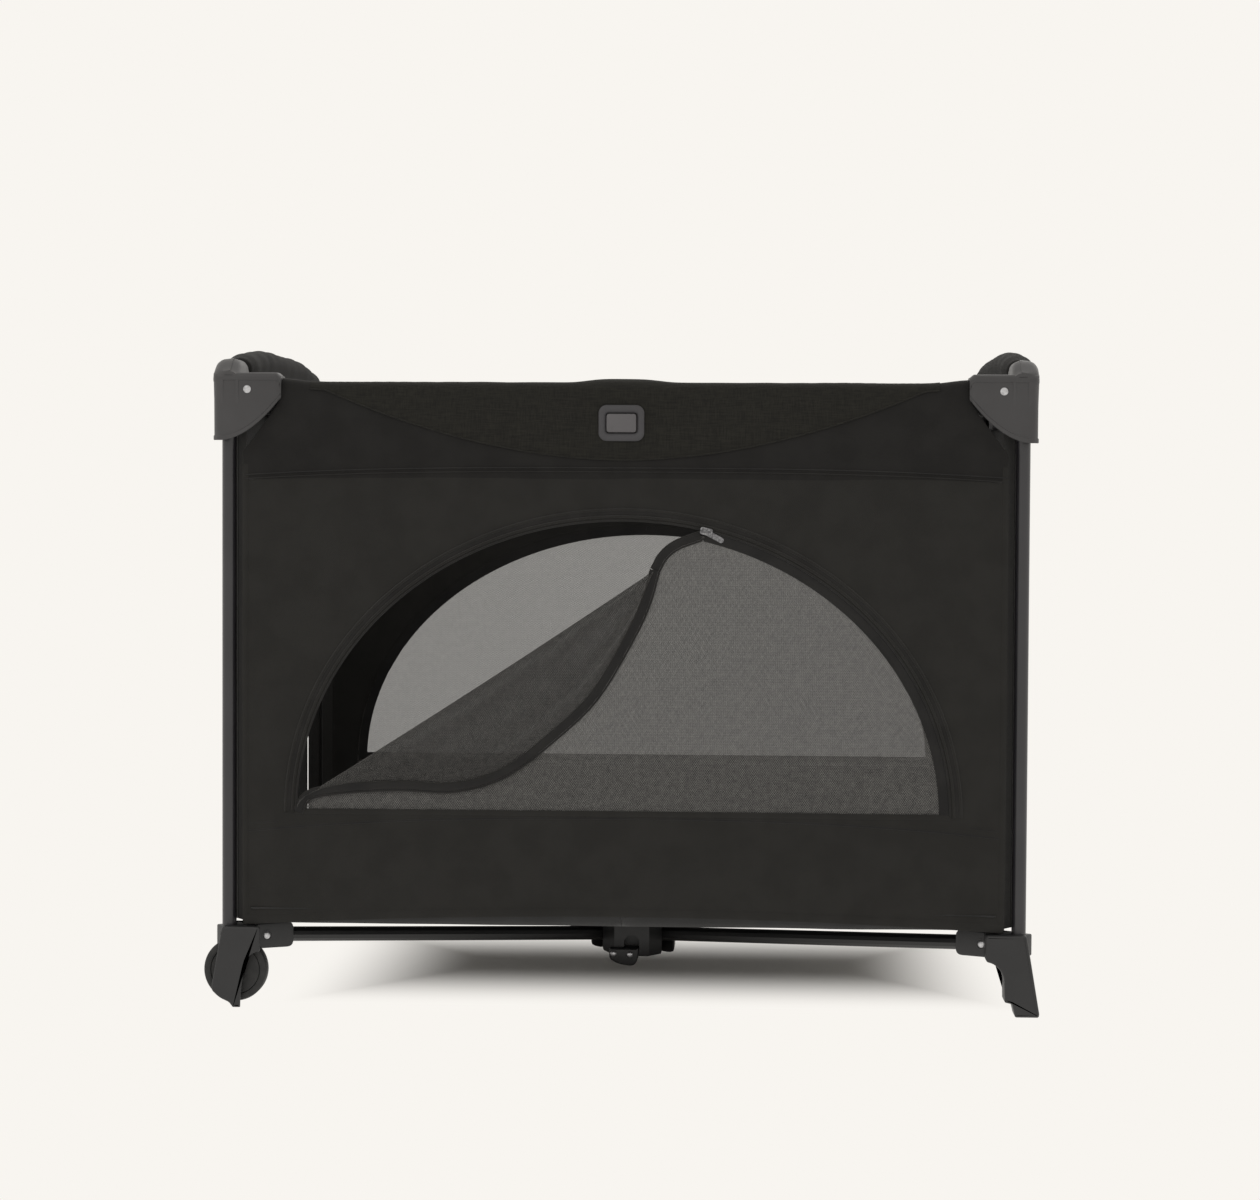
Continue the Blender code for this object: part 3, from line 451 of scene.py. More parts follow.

# %% [markdown]
# ## Floor and light
# A pale studio sweep carries the cot. It glows evenly by itself, save in a patch under the open cot,
# where it is plain paper and takes the shadow. The glow is painted light: it fades out gradually
# towards the middle of that patch, so it also sets how deep the shadow gets and how soft its edge is.
# The rest of the light comes from everywhere, with a little more from the upper left front, which
# gives the dark cloth its faint modelling.
# %% Floor and light
PAPER = srgb(248, 245, 240)
floor_finish, floor_tree, floor_shader = new_finish("studio_paper", PAPER, 0.95)
tint(floor_tree, floor_shader, noise_of(floor_tree, 3, 2), srgb(246, 243, 238), PAPER)


def fade(tree, value, low, high):
    """A smooth step from 0 to 1 as a node."""
    step = add_node(tree, "ShaderNodeMapRange", interpolation_type="SMOOTHSTEP")
    step.inputs["From Min"].default_value = low
    step.inputs["From Max"].default_value = high
    link(tree, math_node(tree, "ABSOLUTE", value), step.inputs["Value"])
    return step.outputs["Result"]


where = add_node(floor_tree, "ShaderNodeTexCoord")
apart = add_node(floor_tree, "ShaderNodeSeparateXYZ")
link(floor_tree, where.outputs["Object"], apart.inputs[0])
# Painted light: the paper's glow fades out towards the middle of the patch under the cot, and so sets how deep the
# shadow there gets and how soft its edge is.
glow_share_x = fade(floor_tree, math_node(floor_tree, "ADD", apart.outputs[0], -0.04), 0.25, 0.48)
glow_share_y = fade(floor_tree, apart.outputs[1], 0.03, 0.33)
glow_share_z = fade(floor_tree, apart.outputs[2], 0.02, 0.2)
glow = math_node(floor_tree, "MAXIMUM", math_node(floor_tree, "MAXIMUM", glow_share_x, glow_share_y), glow_share_z)
glowing_paper = add_node(floor_tree, "ShaderNodeEmission")
glowing_paper.inputs["Color"].default_value = (*PAPER, 1)
both = add_node(floor_tree, "ShaderNodeMixShader")
link(floor_tree, glow, both.inputs["Fac"])
link(floor_tree, floor_shader.outputs[0], both.inputs[1])
link(floor_tree, glowing_paper.outputs[0], both.inputs[2])
link(floor_tree, both.outputs[0], floor_tree.nodes["Material Output"].inputs["Surface"])
SWEEP_NEAR, SWEEP_FAR, SWEEP_BEND, SWEEP_HIGH = -9.0, 4.0, 2.5, 9.0
sweep_line = [(SWEEP_NEAR, 0.0)]
for step in range(17):
    angle = math.pi / 2 * step / 16
    sweep_line.append((SWEEP_FAR + SWEEP_BEND * math.sin(angle), SWEEP_BEND * (1 - math.cos(angle))))
sweep_line.append((SWEEP_FAR + SWEEP_BEND, SWEEP_HIGH))
sweep_mesh = bpy.data.meshes.new("studio_sweep")
sweep_points = [(x, y, z) for y, z in sweep_line for x in (-14.0, 14.0)]
sweep_mesh.from_pydata(sweep_points, [], grid_faces(len(sweep_line), 2))
sweep_mesh.materials.append(floor_finish)
sweep_mesh.shade_smooth()
add_object("studio_sweep", sweep_mesh)

world = bpy.data.worlds.new("soft_room")
world.use_nodes = True
world.node_tree.nodes["Background"].inputs["Color"].default_value = (*PAPER, 1)
world.node_tree.nodes["Background"].inputs["Strength"].default_value = 1.0
bpy.context.scene.world = world
bpy.context.scene.view_settings.view_transform = "Standard"


def soft_lamp(name, place, aim, size, power):
    """A large square lamp that points at a place."""
    lamp = add_object(name, bpy.data.lights.new(name, "AREA"))
    lamp.data.size = size
    lamp.data.energy = power
    lamp.location = place
    lamp.rotation_mode = "QUATERNION"
    lamp.rotation_quaternion = (Vector(aim) - Vector(place)).to_track_quat("-Z", "Y")


soft_lamp("window_light", (-2.6, -3.4, 3.6), (0, 0, 0.4), 2.6, 16)
soft_lamp("top_light", (1.0, 0.6, 4.2), (0, 0, 0.2), 3.2, 6)
soft_lamp("back_light", (1.5, 3.2, 2.6), (0, 0, 0.4), 2.4, 6)

# %% [markdown]
# ## Uprights, bottom bars and rails
# All of these are round steel tube. The uprights stand in the feet and end inside the corner shells.
# They are remade here with more sides than the frame needs, so that the light runs down them as one
# clean line. The folding rails are hidden in cloth, so the frame's own rails stay and take the paint.
# %% Tubes
for corner, (sx, sy) in CORNERS.items():
    low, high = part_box("upright_" + corner)
    post = [(MID + sx * POST_X, sy * POST_Y, low.z + (high.z - low.z) * i / 4) for i in range(5)]
    post = tube("post_" + corner, post, POST_R, tube_paint, "corner_" + corner, 32)
    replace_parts(post, "upright_" + corner)
    # The bars and rails take the darker copy of the tube paint, which paints in the shade under the cot.
    for node in ("top_rail_", "end_rail_", "bottom_bar_"):
        obj = paint_node(node + corner, bar_paint)
        obj.data.shade_smooth()
        obj.data.set_sharp_from_angle(angle=math.radians(35))
print("posts and rails done")

# %% [markdown]
# ## The fabric walls
# Each wall is one tight sheet from the hem to the seam under the top rail, with a half-round window.
# When the cot folds the cloth gathers at the corners, so each wall is made as two halves that meet in
# the middle: each half rides on its own corner.
# A small map turns "along the wall, out from the middle, height" into a point, so that the long sides
# and the ends share every function.
# %% Places on a wall
WALL_EDGE_IN = 0.020        # side edge of the cloth, in from the upright's axis
LONG_SKIN = 0.3545          # outer face of a long wall at its top, from the middle
END_SKIN = 0.5045
HEM_MIDDLE, HEM_DROP = 0.1205, 0.0165
SEAM_MIDDLE, SEAM_DROP = 0.6735, 0.012
BELLY = 0.008               # how far the slack cloth stands out

WALLS = {
    "front": dict(out=LONG_SKIN, half=POST_X, edge=POST_X - WALL_EDGE_IN, a=0.4095, b=0.3680, base=0.2475),
    "rear": dict(out=LONG_SKIN, half=POST_X, edge=POST_X - WALL_EDGE_IN, a=0.4290, b=0.3480, base=0.2490),
    "left": dict(out=END_SKIN, half=POST_Y, edge=POST_Y - 0.026, a=0.2500, b=0.3300, base=0.2490),
    "right": dict(out=END_SKIN, half=POST_Y, edge=POST_Y - 0.026, a=0.2500, b=0.3300, base=0.2490),
}


def on_wall(side, u, out, z):
    """A point along a wall, out from the cot's middle and at a height."""
    return {"front": (MID + u, -out, z), "rear": (MID + u, out, z),
            "left": (MID - out, u, z), "right": (MID + out, u, z)}[side]


def outward(side):
    return Vector({"front": (0, -1, 0), "rear": (0, 1, 0), "left": (-1, 0, 0), "right": (1, 0, 0)}[side])


def corner_at(side, sign):
    """The corner at the low or high end of a wall."""
    if side in ("front", "rear"):
        return side + ("_left" if sign < 0 else "_right")
    return ("front_" if sign < 0 else "rear_") + side


def short_name(side, sign):
    """What tells a wall's two halves apart: left or right, front or rear."""
    return corner_at(side, sign).replace(side, "").strip("_")


def hem_height(side, u):
    share = u / WALLS[side]["half"]
    return HEM_MIDDLE - HEM_DROP * share * share


def seam_height(side, u):
    return SEAM_MIDDLE - SEAM_DROP * abs(u / WALLS[side]["half"]) ** 3


def skin(side, u, z):
    """How far out the cloth stands: tight at the seam and the sides, slack between, softly uneven."""
    wall = WALLS[side]
    slack = 1 - min(1.0, abs(u) / wall["edge"]) ** 4
    belly = BELLY * slack * ease(SEAM_MIDDLE - z, 0.0, 0.13) * (0.55 + 0.45 * ease(z, 0.11, 0.22))
    uneven = noise.noise(Vector((u * 7, z * 7, wall["half"] * 40))) * 0.0012
    fine = noise.noise(Vector((u * 21 + 5, z * 16, wall["half"] * 9))) * 0.0004
    return wall["out"] + belly + (uneven + fine) * slack * ease(SEAM_MIDDLE - z, 0.0, 0.05)


def gather(obj):
    """Gives the piece its own copy of its mesh."""
    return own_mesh(obj)


# %% [markdown]
# The half-round hole decides how the sheet is meshed. Above the base line, rays run out from the
# middle of the window to the sheet's edge; below it, columns run down to the hem. The edges of the
# faces then follow the arch, and the cloth bends smoothly round it.
# %% A half wall with a half-round window
RAYS, RINGS, COLUMNS, ROWS = 30, 12, 24, 10


def wall_half(side, sign):
    """Half of a wall from its middle to its side edge."""
    wall = WALLS[side]
    a, b, base, edge = wall["a"], wall["b"], wall["base"], wall["edge"]

    def point(u, z):
        return on_wall(side, sign * u, skin(side, sign * u, z), z)

    corner_angle = math.atan2(seam_height(side, edge) - base, edge)
    angles = sorted([math.pi / 2 * i / RAYS for i in range(RAYS + 1)] + [corner_angle])
    points, faces = [], []
    for angle in angles:
        along, rise = math.cos(angle), math.sin(angle)
        near = 1 / math.hypot(along / a, rise / b)
        if angle <= corner_angle:
            far = edge / along
        else:
            far = (seam_height(side, edge) - base) / rise
            far = (seam_height(side, far * along) - base) / rise
        for ring in range(RINGS + 1):
            reach = near + (far - near) * ring / RINGS
            points.append(point(reach * along, base + reach * rise))
    faces += grid_faces(len(angles), RINGS + 1)
    start = len(points)
    across = [a * i / COLUMNS for i in range(COLUMNS + 1)]
    across += [a + (edge - a) * i / RINGS for i in range(1, RINGS + 1)]
    for row in range(ROWS + 1):
        for u in across:
            low = hem_height(side, u)
            points.append(point(u, low + (base - low) * row / ROWS))
    faces += grid_faces(ROWS + 1, len(across), start)
    name = f"{side}_wall_{short_name(side, sign)}"
    obj = piece(name, points, faces, wall_cloth, "corner_" + corner_at(side, sign))
    thicken(obj, 0.0012)
    long_or_end = "wall_long_" if side in ("front", "rear") else "wall_end_"
    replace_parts(obj, long_or_end + corner_at(side, sign))
    return gather(obj)


halves = [wall_half(side, sign) for side in WALLS for sign in (-1, 1)]
print(len(halves), "wall halves,", sum(len(o.data.polygons) for o in halves), "faces")

# %% [markdown]
# ## Edges: bindings, piping and seams
# A sheet only looks sewn when its edges do. Each edge gets a strip that follows it a little proud of
# the cloth: a flat binding, a round piping cord or the two fine ridges of a double stitched seam. One
# function lays any such strip along a line drawn on a wall, and cuts it at the middle.
# %% Strips on a wall
def flat_section(half_width, thick):
    """A thin strip with softened edges, lying on its face."""
    edge = min(half_width * 0.4, thick)
    return [(-half_width, -thick * 0.4), (half_width, -thick * 0.4), (half_width, thick * 0.3),
            (half_width - edge, thick), (-half_width + edge, thick), (-half_width, thick * 0.3)]


def strip(name, side, sign, line, section, finish, lift=0.0):
    """A section laid along a line of (u, z) points on a wall, lifted off its skin."""
    line = np.array(line, float)
    points = [on_wall(side, u, skin(side, u, z) + lift, z) for u, z in line]
    along = np.gradient(np.array(points), axis=0)
    along /= np.linalg.norm(along, axis=1)[:, None]
    ups = np.tile(np.array(outward(side)), (len(points), 1))
    sides = np.cross(along, ups)
    sides /= np.linalg.norm(sides, axis=1)[:, None]
    body = "corner_" + corner_at(side, sign)
    obj = sweep(name, points, sides, np.cross(sides, along), section, finish, body)
    return gather(obj)


def arch_line(side, sign, grow):
    """The window's arch on one half, grown outward, from its foot at the side to its top."""
    wall = WALLS[side]
    return [(sign * (wall["a"] + grow) * math.cos(t), wall["base"] + (wall["b"] + grow) * math.sin(t))
            for t in (math.pi / 2 * i / 40 for i in range(41))]


def level_line(sign, height, reach):
    """A line across one half, with its height a function of u."""
    return [(sign * reach * i / 24, height(sign * reach * i / 24)) for i in range(25)]


def double_seam(height):
    """The lapped seam over the lower panel, which drops a little towards the corners."""
    return lambda u: height - 0.024 * abs(u / POST_X) ** 2.5


for side in WALLS:
    wall = WALLS[side]
    for sign in (-1, 1):
        tag = f"{side}_{short_name(side, sign)}"
        hem = level_line(sign, lambda u, s=side: hem_height(s, u) + 0.004, wall["edge"])
        strip("hem_" + tag, side, sign, hem, flat_section(0.0055, 0.0014), wall_cloth)
        edge_line = [(sign * (wall["edge"] - 0.003), z) for z in np.linspace(
            hem_height(side, wall["edge"]) + 0.002, seam_height(side, wall["edge"]) + 0.02, 24)]
        strip("side_binding_" + tag, side, sign, edge_line, flat_section(0.004, 0.0013), wall_cloth)
        for label, rise, finish in (("upper", 0.0055, piping_cloth), ("lower", -0.0035, binding_cloth)):
            seam = level_line(sign, double_seam(wall["base"] - 0.001 + rise), wall["edge"] - 0.004)
            if label == "upper" and side == "front":
                seam = [(u, z) for u, z in seam if abs(u) > wall["a"] + 0.012]
            strip(f"panel_seam_{label}_{tag}", side, sign, seam, flat_section(0.0016, 0.0009), finish)
print("hems, side bindings and panel seams done")

# %% [markdown]
# ## Corner cloth
# Behind each upright a narrow strip joins the two walls, with a dark binding down its middle, so that
# no light shows between the walls and the tube.
# %% Strips behind the uprights
STRIP_LOW, STRIP_HIGH = 0.108, 0.750
strip_start = Vector((POST_X - 0.024, LONG_SKIN - 0.0025))
strip_end = Vector((END_SKIN - 0.0025, POST_Y - 0.031))
for corner, (sx, sy) in CORNERS.items():
    def at_corner(share, height_share, inward=0.0):
        """A point of the strip: across it, up it, and drawn in a little."""
        place = strip_start.lerp(strip_end, share) - Vector((inward, inward))
        return Vector((MID + sx * place.x, sy * place.y, STRIP_LOW + (STRIP_HIGH - STRIP_LOW) * height_share))

    points = [at_corner(c / 6, r / 16) for r in range(17) for c in range(7)]
    cloth = piece(f"corner_strip_0_{corner}", points, grid_faces(17, 7), wall_cloth, "corner_" + corner)
    path = [at_corner(0.5, r / 6, 0.0012) for r in range(7)]
    seam = tube(f"corner_binding_0_{corner}", path, 0.0022, binding_cloth, "corner_" + corner, 8)
print("corner strips", round((strip_end - strip_start).length, 3), "wide")

# %% [markdown]
# ## The rear and end windows
# These are sewn in: a sheet of knitted mesh held by a dark binding round the arch. The mesh takes the
# curve of the wall. It is one layer of yarn, so it needs no thickness: its holes do the work.
# %% Sewn-in windows
UNDER_EDGE = 0.006          # how far the mesh reaches under the wall's edge


def window_half(side, sign, rows=18, columns=22):
    """Half of a half-round sheet of mesh behind the wall's skin."""
    wall = WALLS[side]
    a, b, base = wall["a"] + UNDER_EDGE, wall["b"] + UNDER_EDGE, wall["base"] - UNDER_EDGE
    points = []
    for row in range(rows + 1):
        for column in range(columns + 1):
            u = a * math.sin(math.pi / 2 * column / columns)
            z = base + b * math.sqrt(max(0.0, 1 - (u / a) ** 2)) * row / rows
            points.append(on_wall(side, sign * u, skin(side, sign * u, z) - 0.0008, z))
    name = f"window_{side}_{short_name(side, sign)}"
    body = "corner_" + corner_at(side, sign)
    obj = piece(name, points, grid_faces(rows + 1, columns + 1), window_mesh, body)
    return gather(obj)


for side in ("rear", "left", "right"):
    for sign in (-1, 1):
        tag = f"{side}_{short_name(side, sign)}"
        window_half(side, sign)
        foot = [(sign * WALLS[side]["a"] * i / 24, WALLS[side]["base"] + 0.004) for i in range(25)]
        arch = arch_line(side, sign, -0.003)
        piping = arch_line(side, sign, 0.007)
        for kind, line, section, finish, lift in (
                ("binding", arch, flat_section(0.0062, 0.0016), binding_cloth, -0.0022),
                ("sill", foot, flat_section(0.005, 0.0016), binding_cloth, -0.0022),
                ("piping", piping, circle(0.0014, 8), piping_cloth, 0.0005)):
            strip(f"window_{kind}_{tag}", side, sign, line, section, finish, lift)
print("three sewn-in windows done")

# %% [markdown]
# ## The zipped mesh door
# The long front side has a door: a half-round panel of mesh on a zip. It is closed from the right up
# to a little past the top, and its free left part is folded out over a straight crease and hangs down
# over the closed part. The wall carries one half of the zip all round the arch under two rows of
# piping. The door's edge carries the other half, with a dark binding.
# %% Sizes of the door
DOOR = WALLS["front"]
SLIDER_U = 0.104
DOOR_IN = 0.0085            # the door's edge, inside the arch
slider_angle = math.acos(SLIDER_U / DOOR["a"])
SLIDER_Z = DOOR["base"] + DOOR["b"] * math.sin(slider_angle)
crease_start = Vector((-0.4060, DOOR["base"] + 0.0145))
crease_end = Vector((0.0400, 0.5530))
crease = (crease_end - crease_start).normalized()


def crease_height(u):
    """The straight crease, which sags a little between its two ends."""
    share = (u - crease_start.x) / (crease_end.x - crease_start.x)
    sag = 0.003 * math.sin(math.pi * min(1, max(0, share)))
    return crease_start.y + share * (crease_end.y - crease_start.y) - sag


def soft_curve(knots, steps):
    """A smooth curve through knots."""
    knots = [Vector(k) for k in knots]
    knots = [2 * knots[0] - knots[1], *knots, 2 * knots[-1] - knots[-2]]
    line = []
    for a, b, c, d in zip(knots, knots[1:], knots[2:], knots[3:]):
        for i in range(steps):
            t = i / steps
            line.append(0.5 * (2 * b + (c - a) * t + (2 * a - 5 * b + 4 * c - d) * t * t
                               + (3 * b - a - 3 * c + d) * t ** 3))
    line.append(knots[-2])
    return line


# From the slider the door's free edge drops to the crease, then swings down across the closed part.
edge_to_crease = soft_curve([(0.097, 0.5965), (0.067, 0.585), (0.050, 0.571), (0.040, 0.553)], 8)
edge_hanging = soft_curve([(0.040, 0.553), (0.029, 0.513), (0.009, 0.469), (-0.033, 0.398), (-0.082, 0.349),
                           (-0.144, 0.301), (-0.206, 0.281), (-0.277, 0.282), (-0.348, 0.278), (-0.392, 0.269),
                           (-0.407, 0.248)], 6)


def door_edge(angle):
    """A point on the door's own arched edge."""
    a, b = DOOR["a"] - DOOR_IN, DOOR["b"] - DOOR_IN
    return Vector((a * math.cos(angle), DOOR["base"] + b * math.sin(angle)))


print("slider at", round(SLIDER_U, 3), round(SLIDER_Z, 3))

# %% [markdown]
# The closed part of the door hangs below the crease. It is two panels that meet at the cot's middle,
# because each half of the wall folds with its own corner.
# %% Door panels below the crease
DOOR_BEHIND = 0.0012        # the door's cloth lies this far behind the wall's
slope_u, slope_z = zip(*[place[:] for place in reversed(edge_to_crease)])


def door_point(u, z, out=0.0):
    return on_wall("front", u, skin("front", u, z) - DOOR_BEHIND + out, z)


def door_panel(name, sign, columns=44, rows=22):
    """The hanging part of the door on one side of the cot's middle."""
    a, b = DOOR["a"] - DOOR_IN, DOOR["b"] - DOOR_IN
    points = []
    for column in range(columns + 1):
        u = sign * a * math.sin(math.pi / 2 * column / columns)
        ceiling = DOOR["base"] + b * math.sqrt(max(0.0, 1 - (u / a) ** 2))
        if u < crease_end.x:
            ceiling = max(DOOR["base"], min(ceiling, crease_height(u)))
        elif u < edge_to_crease[0].x:
            ceiling = float(np.interp(u, slope_u, slope_z))
        for row in range(rows + 1):
            points.append(door_point(u, DOOR["base"] - 0.004 + (ceiling - DOOR["base"] + 0.004) * row / rows))
    body = "corner_" + corner_at("front", sign)
    obj = piece(name, points, grid_faces(columns + 1, rows + 1), door_mesh, body)
    return gather(obj)


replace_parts(door_panel("door_mesh_left_half", -1), "door_mesh_left")
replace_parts(door_panel("door_mesh_right_half", 1), "door_mesh_right")
print("door panels up to", round(max(slope_z), 3))

# %% [markdown]
# The open flap is the same mesh once more, in a darker copy that paints the shade of the folded layer,
# lying over the closed part. It stands off a few millimetres where it rolls over the crease, and its
# free edge carries the dark binding down to the lower left corner, where it bunches on the wall's seam.
# %% Folded flap
FLAP_LIFT = 0.0035
FLAP_ROWS = 14


def flap_skin(place, share):
    """Height of the flap over the cloth: a soft roll at the crease, close at the free edge."""
    roll = FLAP_LIFT * math.sin(math.pi * min(1.0, share * 1.15)) + 0.0012
    return roll + 0.0008 * noise.noise(Vector((place.x * 18, place.y * 18, 3)))


flap_points = []
for free in edge_hanging:
    reach = min(max((free - crease_start).dot(crease), 0.0), (crease_end - crease_start).length)
    foot = crease_start + crease * reach
    foot.y = crease_height(foot.x)
    for row in range(FLAP_ROWS + 1):
        share = row / FLAP_ROWS
        place = foot.lerp(free, share)
        flap_points.append(door_point(place.x, place.y, flap_skin(place, share)))
flap_faces = grid_faces(len(edge_hanging), FLAP_ROWS + 1)
flap = piece("door_flap_folded", flap_points, flap_faces, flap_mesh, "corner_front_left")
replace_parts(flap, "door_flap")
gather(flap)


def beside(line, distance):
    """A line that runs beside another one."""
    out = []
    for i, place in enumerate(line):
        ahead = (line[min(i + 1, len(line) - 1)] - line[max(i - 1, 0)]).normalized()
        out.append(place + Vector((ahead.y, -ahead.x)) * distance)
    return out


for label, line, sign, lift in (("hanging", edge_hanging, -1, 0.0024), ("upper", edge_to_crease, 1, 0.0008)):
    for kind, aside, section, finish in (("binding", 0.0, flat_section(0.0046, 0.0016), binding_cloth),
                                         ("coil", -0.0062, circle(0.0013, 8), piping_cloth),
                                         ("piping", 0.0052, circle(0.0009, 8), wall_cloth)):
        strip(f"flap_{kind}_{label}", "front", sign, beside(line, aside), section, finish,
              lift - DOOR_BEHIND)
print("flap folded over a crease of", round((crease_end - crease_start).length, 3), "m")

# %% [markdown]
# The wall's half of the zip runs all round the arch: a tape, the coil on it and two rows of piping.
# %% Zip, tapes and piping round the arch
for sign in (-1, 1):
    hand = short_name("front", sign)
    rows = (("arch_piping_outer", 0.0125, circle(0.0019, 10), wall_cloth, 0.0008),
            ("arch_piping_inner", 0.0040, circle(0.0016, 10), wall_cloth, 0.0008),
            ("arch_zip_coil", -0.0010, circle(0.0012, 8), piping_cloth, 0.0008),
            ("arch_zip_tape", 0.0085, flat_section(0.0065, 0.0010), piping_cloth, 0.0001))
    for label, grow, section, finish, lift in rows:
        strip(f"{label}_{hand}", "front", sign, arch_line("front", sign, grow), section, finish, lift)
    sill = [(sign * DOOR["a"] * i / 30, DOOR["base"] + 0.0015 - 0.001 * (i / 30) ** 2) for i in range(31)]
    strip(f"door_sill_{hand}", "front", sign, sill, flat_section(0.0034, 0.0013), wall_cloth, 0.0002)
closed = [door_edge(slider_angle * i / 40) for i in range(41)]
strip("door_binding_right", "front", 1, closed, flat_section(0.0062, 0.0014), binding_cloth, -0.0004)
print("zip and piping done")

# %% [markdown]
# The slider is a small metal body with a bridge, and a long pull tab rests against the arch beside it.
# The tab swings on its own joint, so it is a piece of its own.
# %% Slider and pull tab
def rounded_rectangle(half_u, half_z, radius, steps=5, barrel=0.0):
    """The outline of a rectangle with round corners. Barrel swells its long sides."""
    points = []
    for quarter, (su, sz) in enumerate(((1, 1), (-1, 1), (-1, -1), (1, -1))):
        for i in range(steps + 1):
            angle = math.pi / 2 * (quarter + i / steps)
            points.append([su * (half_u - radius) + radius * math.cos(angle),
                           sz * (half_z - radius) + radius * math.sin(angle)])
    points = np.array(points)
    swell = 1 - (points[:, 0] / half_u) ** 2
    points[:, 1] += np.sign(points[:, 1]) * barrel * swell
    points[:, 0] += np.sign(points[:, 0]) * barrel * 0.6 * (1 - (points[:, 1] / (half_z + barrel)) ** 2)
    return points


def plate_on_wall(name, side, centre, outs, outlines, finish, body, turn=0.0):
    """Outlines at growing distances from the middle of the cot, joined into one solid."""
    c, s = math.cos(turn), math.sin(turn)
    loops = []
    for out, outline in zip(outs, outlines):
        loops.append([on_wall(side, centre[0] + u * c - z * s, out, centre[1] + u * s + z * c)
                      for u, z in outline])
    return stack(name, loops, finish, body)


slider_out = skin("front", SLIDER_U, SLIDER_Z) + 0.0012
slider_turn = -math.atan2(DOOR["b"] * math.cos(slider_angle), DOOR["a"] * math.sin(slider_angle))
slider_shape = rounded_rectangle(0.0075, 0.0042, 0.0022, 4, 0.0006)
slider = plate_on_wall("slider_body", "front", (SLIDER_U, SLIDER_Z - 0.002),
                       [slider_out, slider_out + 0.0005, slider_out + 0.0028, slider_out + 0.0034],
                       [slider_shape * 0.9, slider_shape, slider_shape, slider_shape * 0.8],
                       slider_metal, "corner_front_right", slider_turn)
bridge = plate_on_wall("slider_bridge", "front", (SLIDER_U, SLIDER_Z - 0.002),
                       [slider_out + 0.003, slider_out + 0.0050, slider_out + 0.0056],
                       [slider_shape * (0.75, 0.35), slider_shape * (0.6, 0.35), slider_shape * (0.4, 0.25)],
                       slider_metal, "corner_front_right", slider_turn)
slider = merged("slider", [slider, bridge])
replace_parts(slider, "zip_slider")
gather(slider)
pull_low, pull_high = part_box("zip_pull")
tab_outline = rounded_rectangle(0.0034, (pull_high.z - pull_low.z) / 2, 0.003, 5)
tab_outs = [-pull_high.y, -pull_high.y + 0.0003, -pull_high.y + 0.0012, -pull_high.y + 0.0015]
tab_turn = math.radians(62)
tab_hang = (pull_high.z - pull_low.z) / 2 - 0.002
tab_middle = (SLIDER_U + tab_hang * math.sin(tab_turn), SLIDER_Z - 0.003 - tab_hang * math.cos(tab_turn))
pull_tab = plate_on_wall("pull_tab", "front", tab_middle, tab_outs,
                         [tab_outline * 0.92, tab_outline, tab_outline, tab_outline * 0.92],
                         slider_metal, "zip_pull", tab_turn)
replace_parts(pull_tab, "zip_pull")
gather(pull_tab)
print("slider and pull tab done")

# %% [markdown]
# ## The corner casings
# Each corner has an L-shaped moulded hood over the ends of two rails. Its long wing faces us, with a
# raised rim along the swept lower edge, and the short wing rises into a rounded ear. Both wings are
# made the same way: upright sections that run along the wing, up the outer skin, over the rounded top
# and down the inner skin.
# %% Shape of a wing
CASE_TOP = RAIL_Z + 0.021
PIVOT_X, PIVOT_Y = POST_X - 0.026, POST_Y - 0.026
LONG_WING, SHORT_WING = 0.086, 0.082
LONG_OUT = CASE_Y - POST_Y
SHORT_OUT = CASE_X - POST_X
CASE_IN = 0.015
CORNER_ROUND = 0.010
SHELL = 0.0035


def lower_edge(s):
    """The swept lower edge: nearly level by the upright, then rising to the wing's tip."""
    return CASE_LOW + 0.0005 + 0.0525 * max(0.0, (s - 0.010) / 0.076) ** 1.85


def upper_edge(s, long_side, length):
    """The top of a wing. The long one is level; the short one rises into the ear."""
    if long_side:
        return CASE_TOP - 0.004 * ease(s, length - 0.006, length)
    rise = EAR_TOP - CASE_TOP
    return CASE_TOP + rise * ease(s, -0.006, 0.030) - 0.010 * ease(s, length - 0.020, length) ** 2


def wing_section(s, long_side, length, out, depth):
    """Points up the outer skin, over the top and down the inner skin, as (out, z)."""
    low, high = lower_edge(s), upper_edge(s, long_side, length)
    shrink = 0.0035 * ease(s, length - 0.005, length)
    face = out - shrink
    dome = 0.006 if long_side else 0.013
    dome = min(dome, (high - low) * 0.3)
    groove = 0.0010
    points = [(face - 0.0022, low + 0.0002), (face - 0.0008, low), (face, low + 0.0010), (face, low + 0.0052),
              (face - groove, low + 0.0064), (face - groove, low + 0.012)]
    top_groove = high - dome - 0.0045
    if top_groove > low + 0.020:
        points += [(face - groove, top_groove), (face, top_groove + 0.0012)]
    else:
        points += [(face - groove, low + 0.014), (face - groove * 0.5, low + 0.015)]
    for i in range(7):
        angle = math.pi / 2 * i / 6
        points.append((face - dome + dome * math.cos(angle), high - dome + dome * math.sin(angle)))
    back = -depth
    points.append(((face - dome + back) / 2, high + (0.0004 if long_side else 0.0012)))
    for i in range(5):
        angle = math.pi / 2 * i / 4
        points.append((back + dome * 0.8 * (1 - math.sin(angle)), high - dome * 0.8 * (1 - math.cos(angle))))
    inner_low = max(low, RAIL_Z - 0.030)
    points += [(back, inner_low), (back + 0.0016, inner_low - 0.0006), (back + SHELL, inner_low)]
    under = high - SHELL - 0.001
    points += [(back + SHELL, under - 0.004), (back + SHELL + 0.004, under), (face - SHELL - 0.005, under),
               (face - SHELL - 0.001, under - 0.005), (face - SHELL, low + 0.002)]
    return points


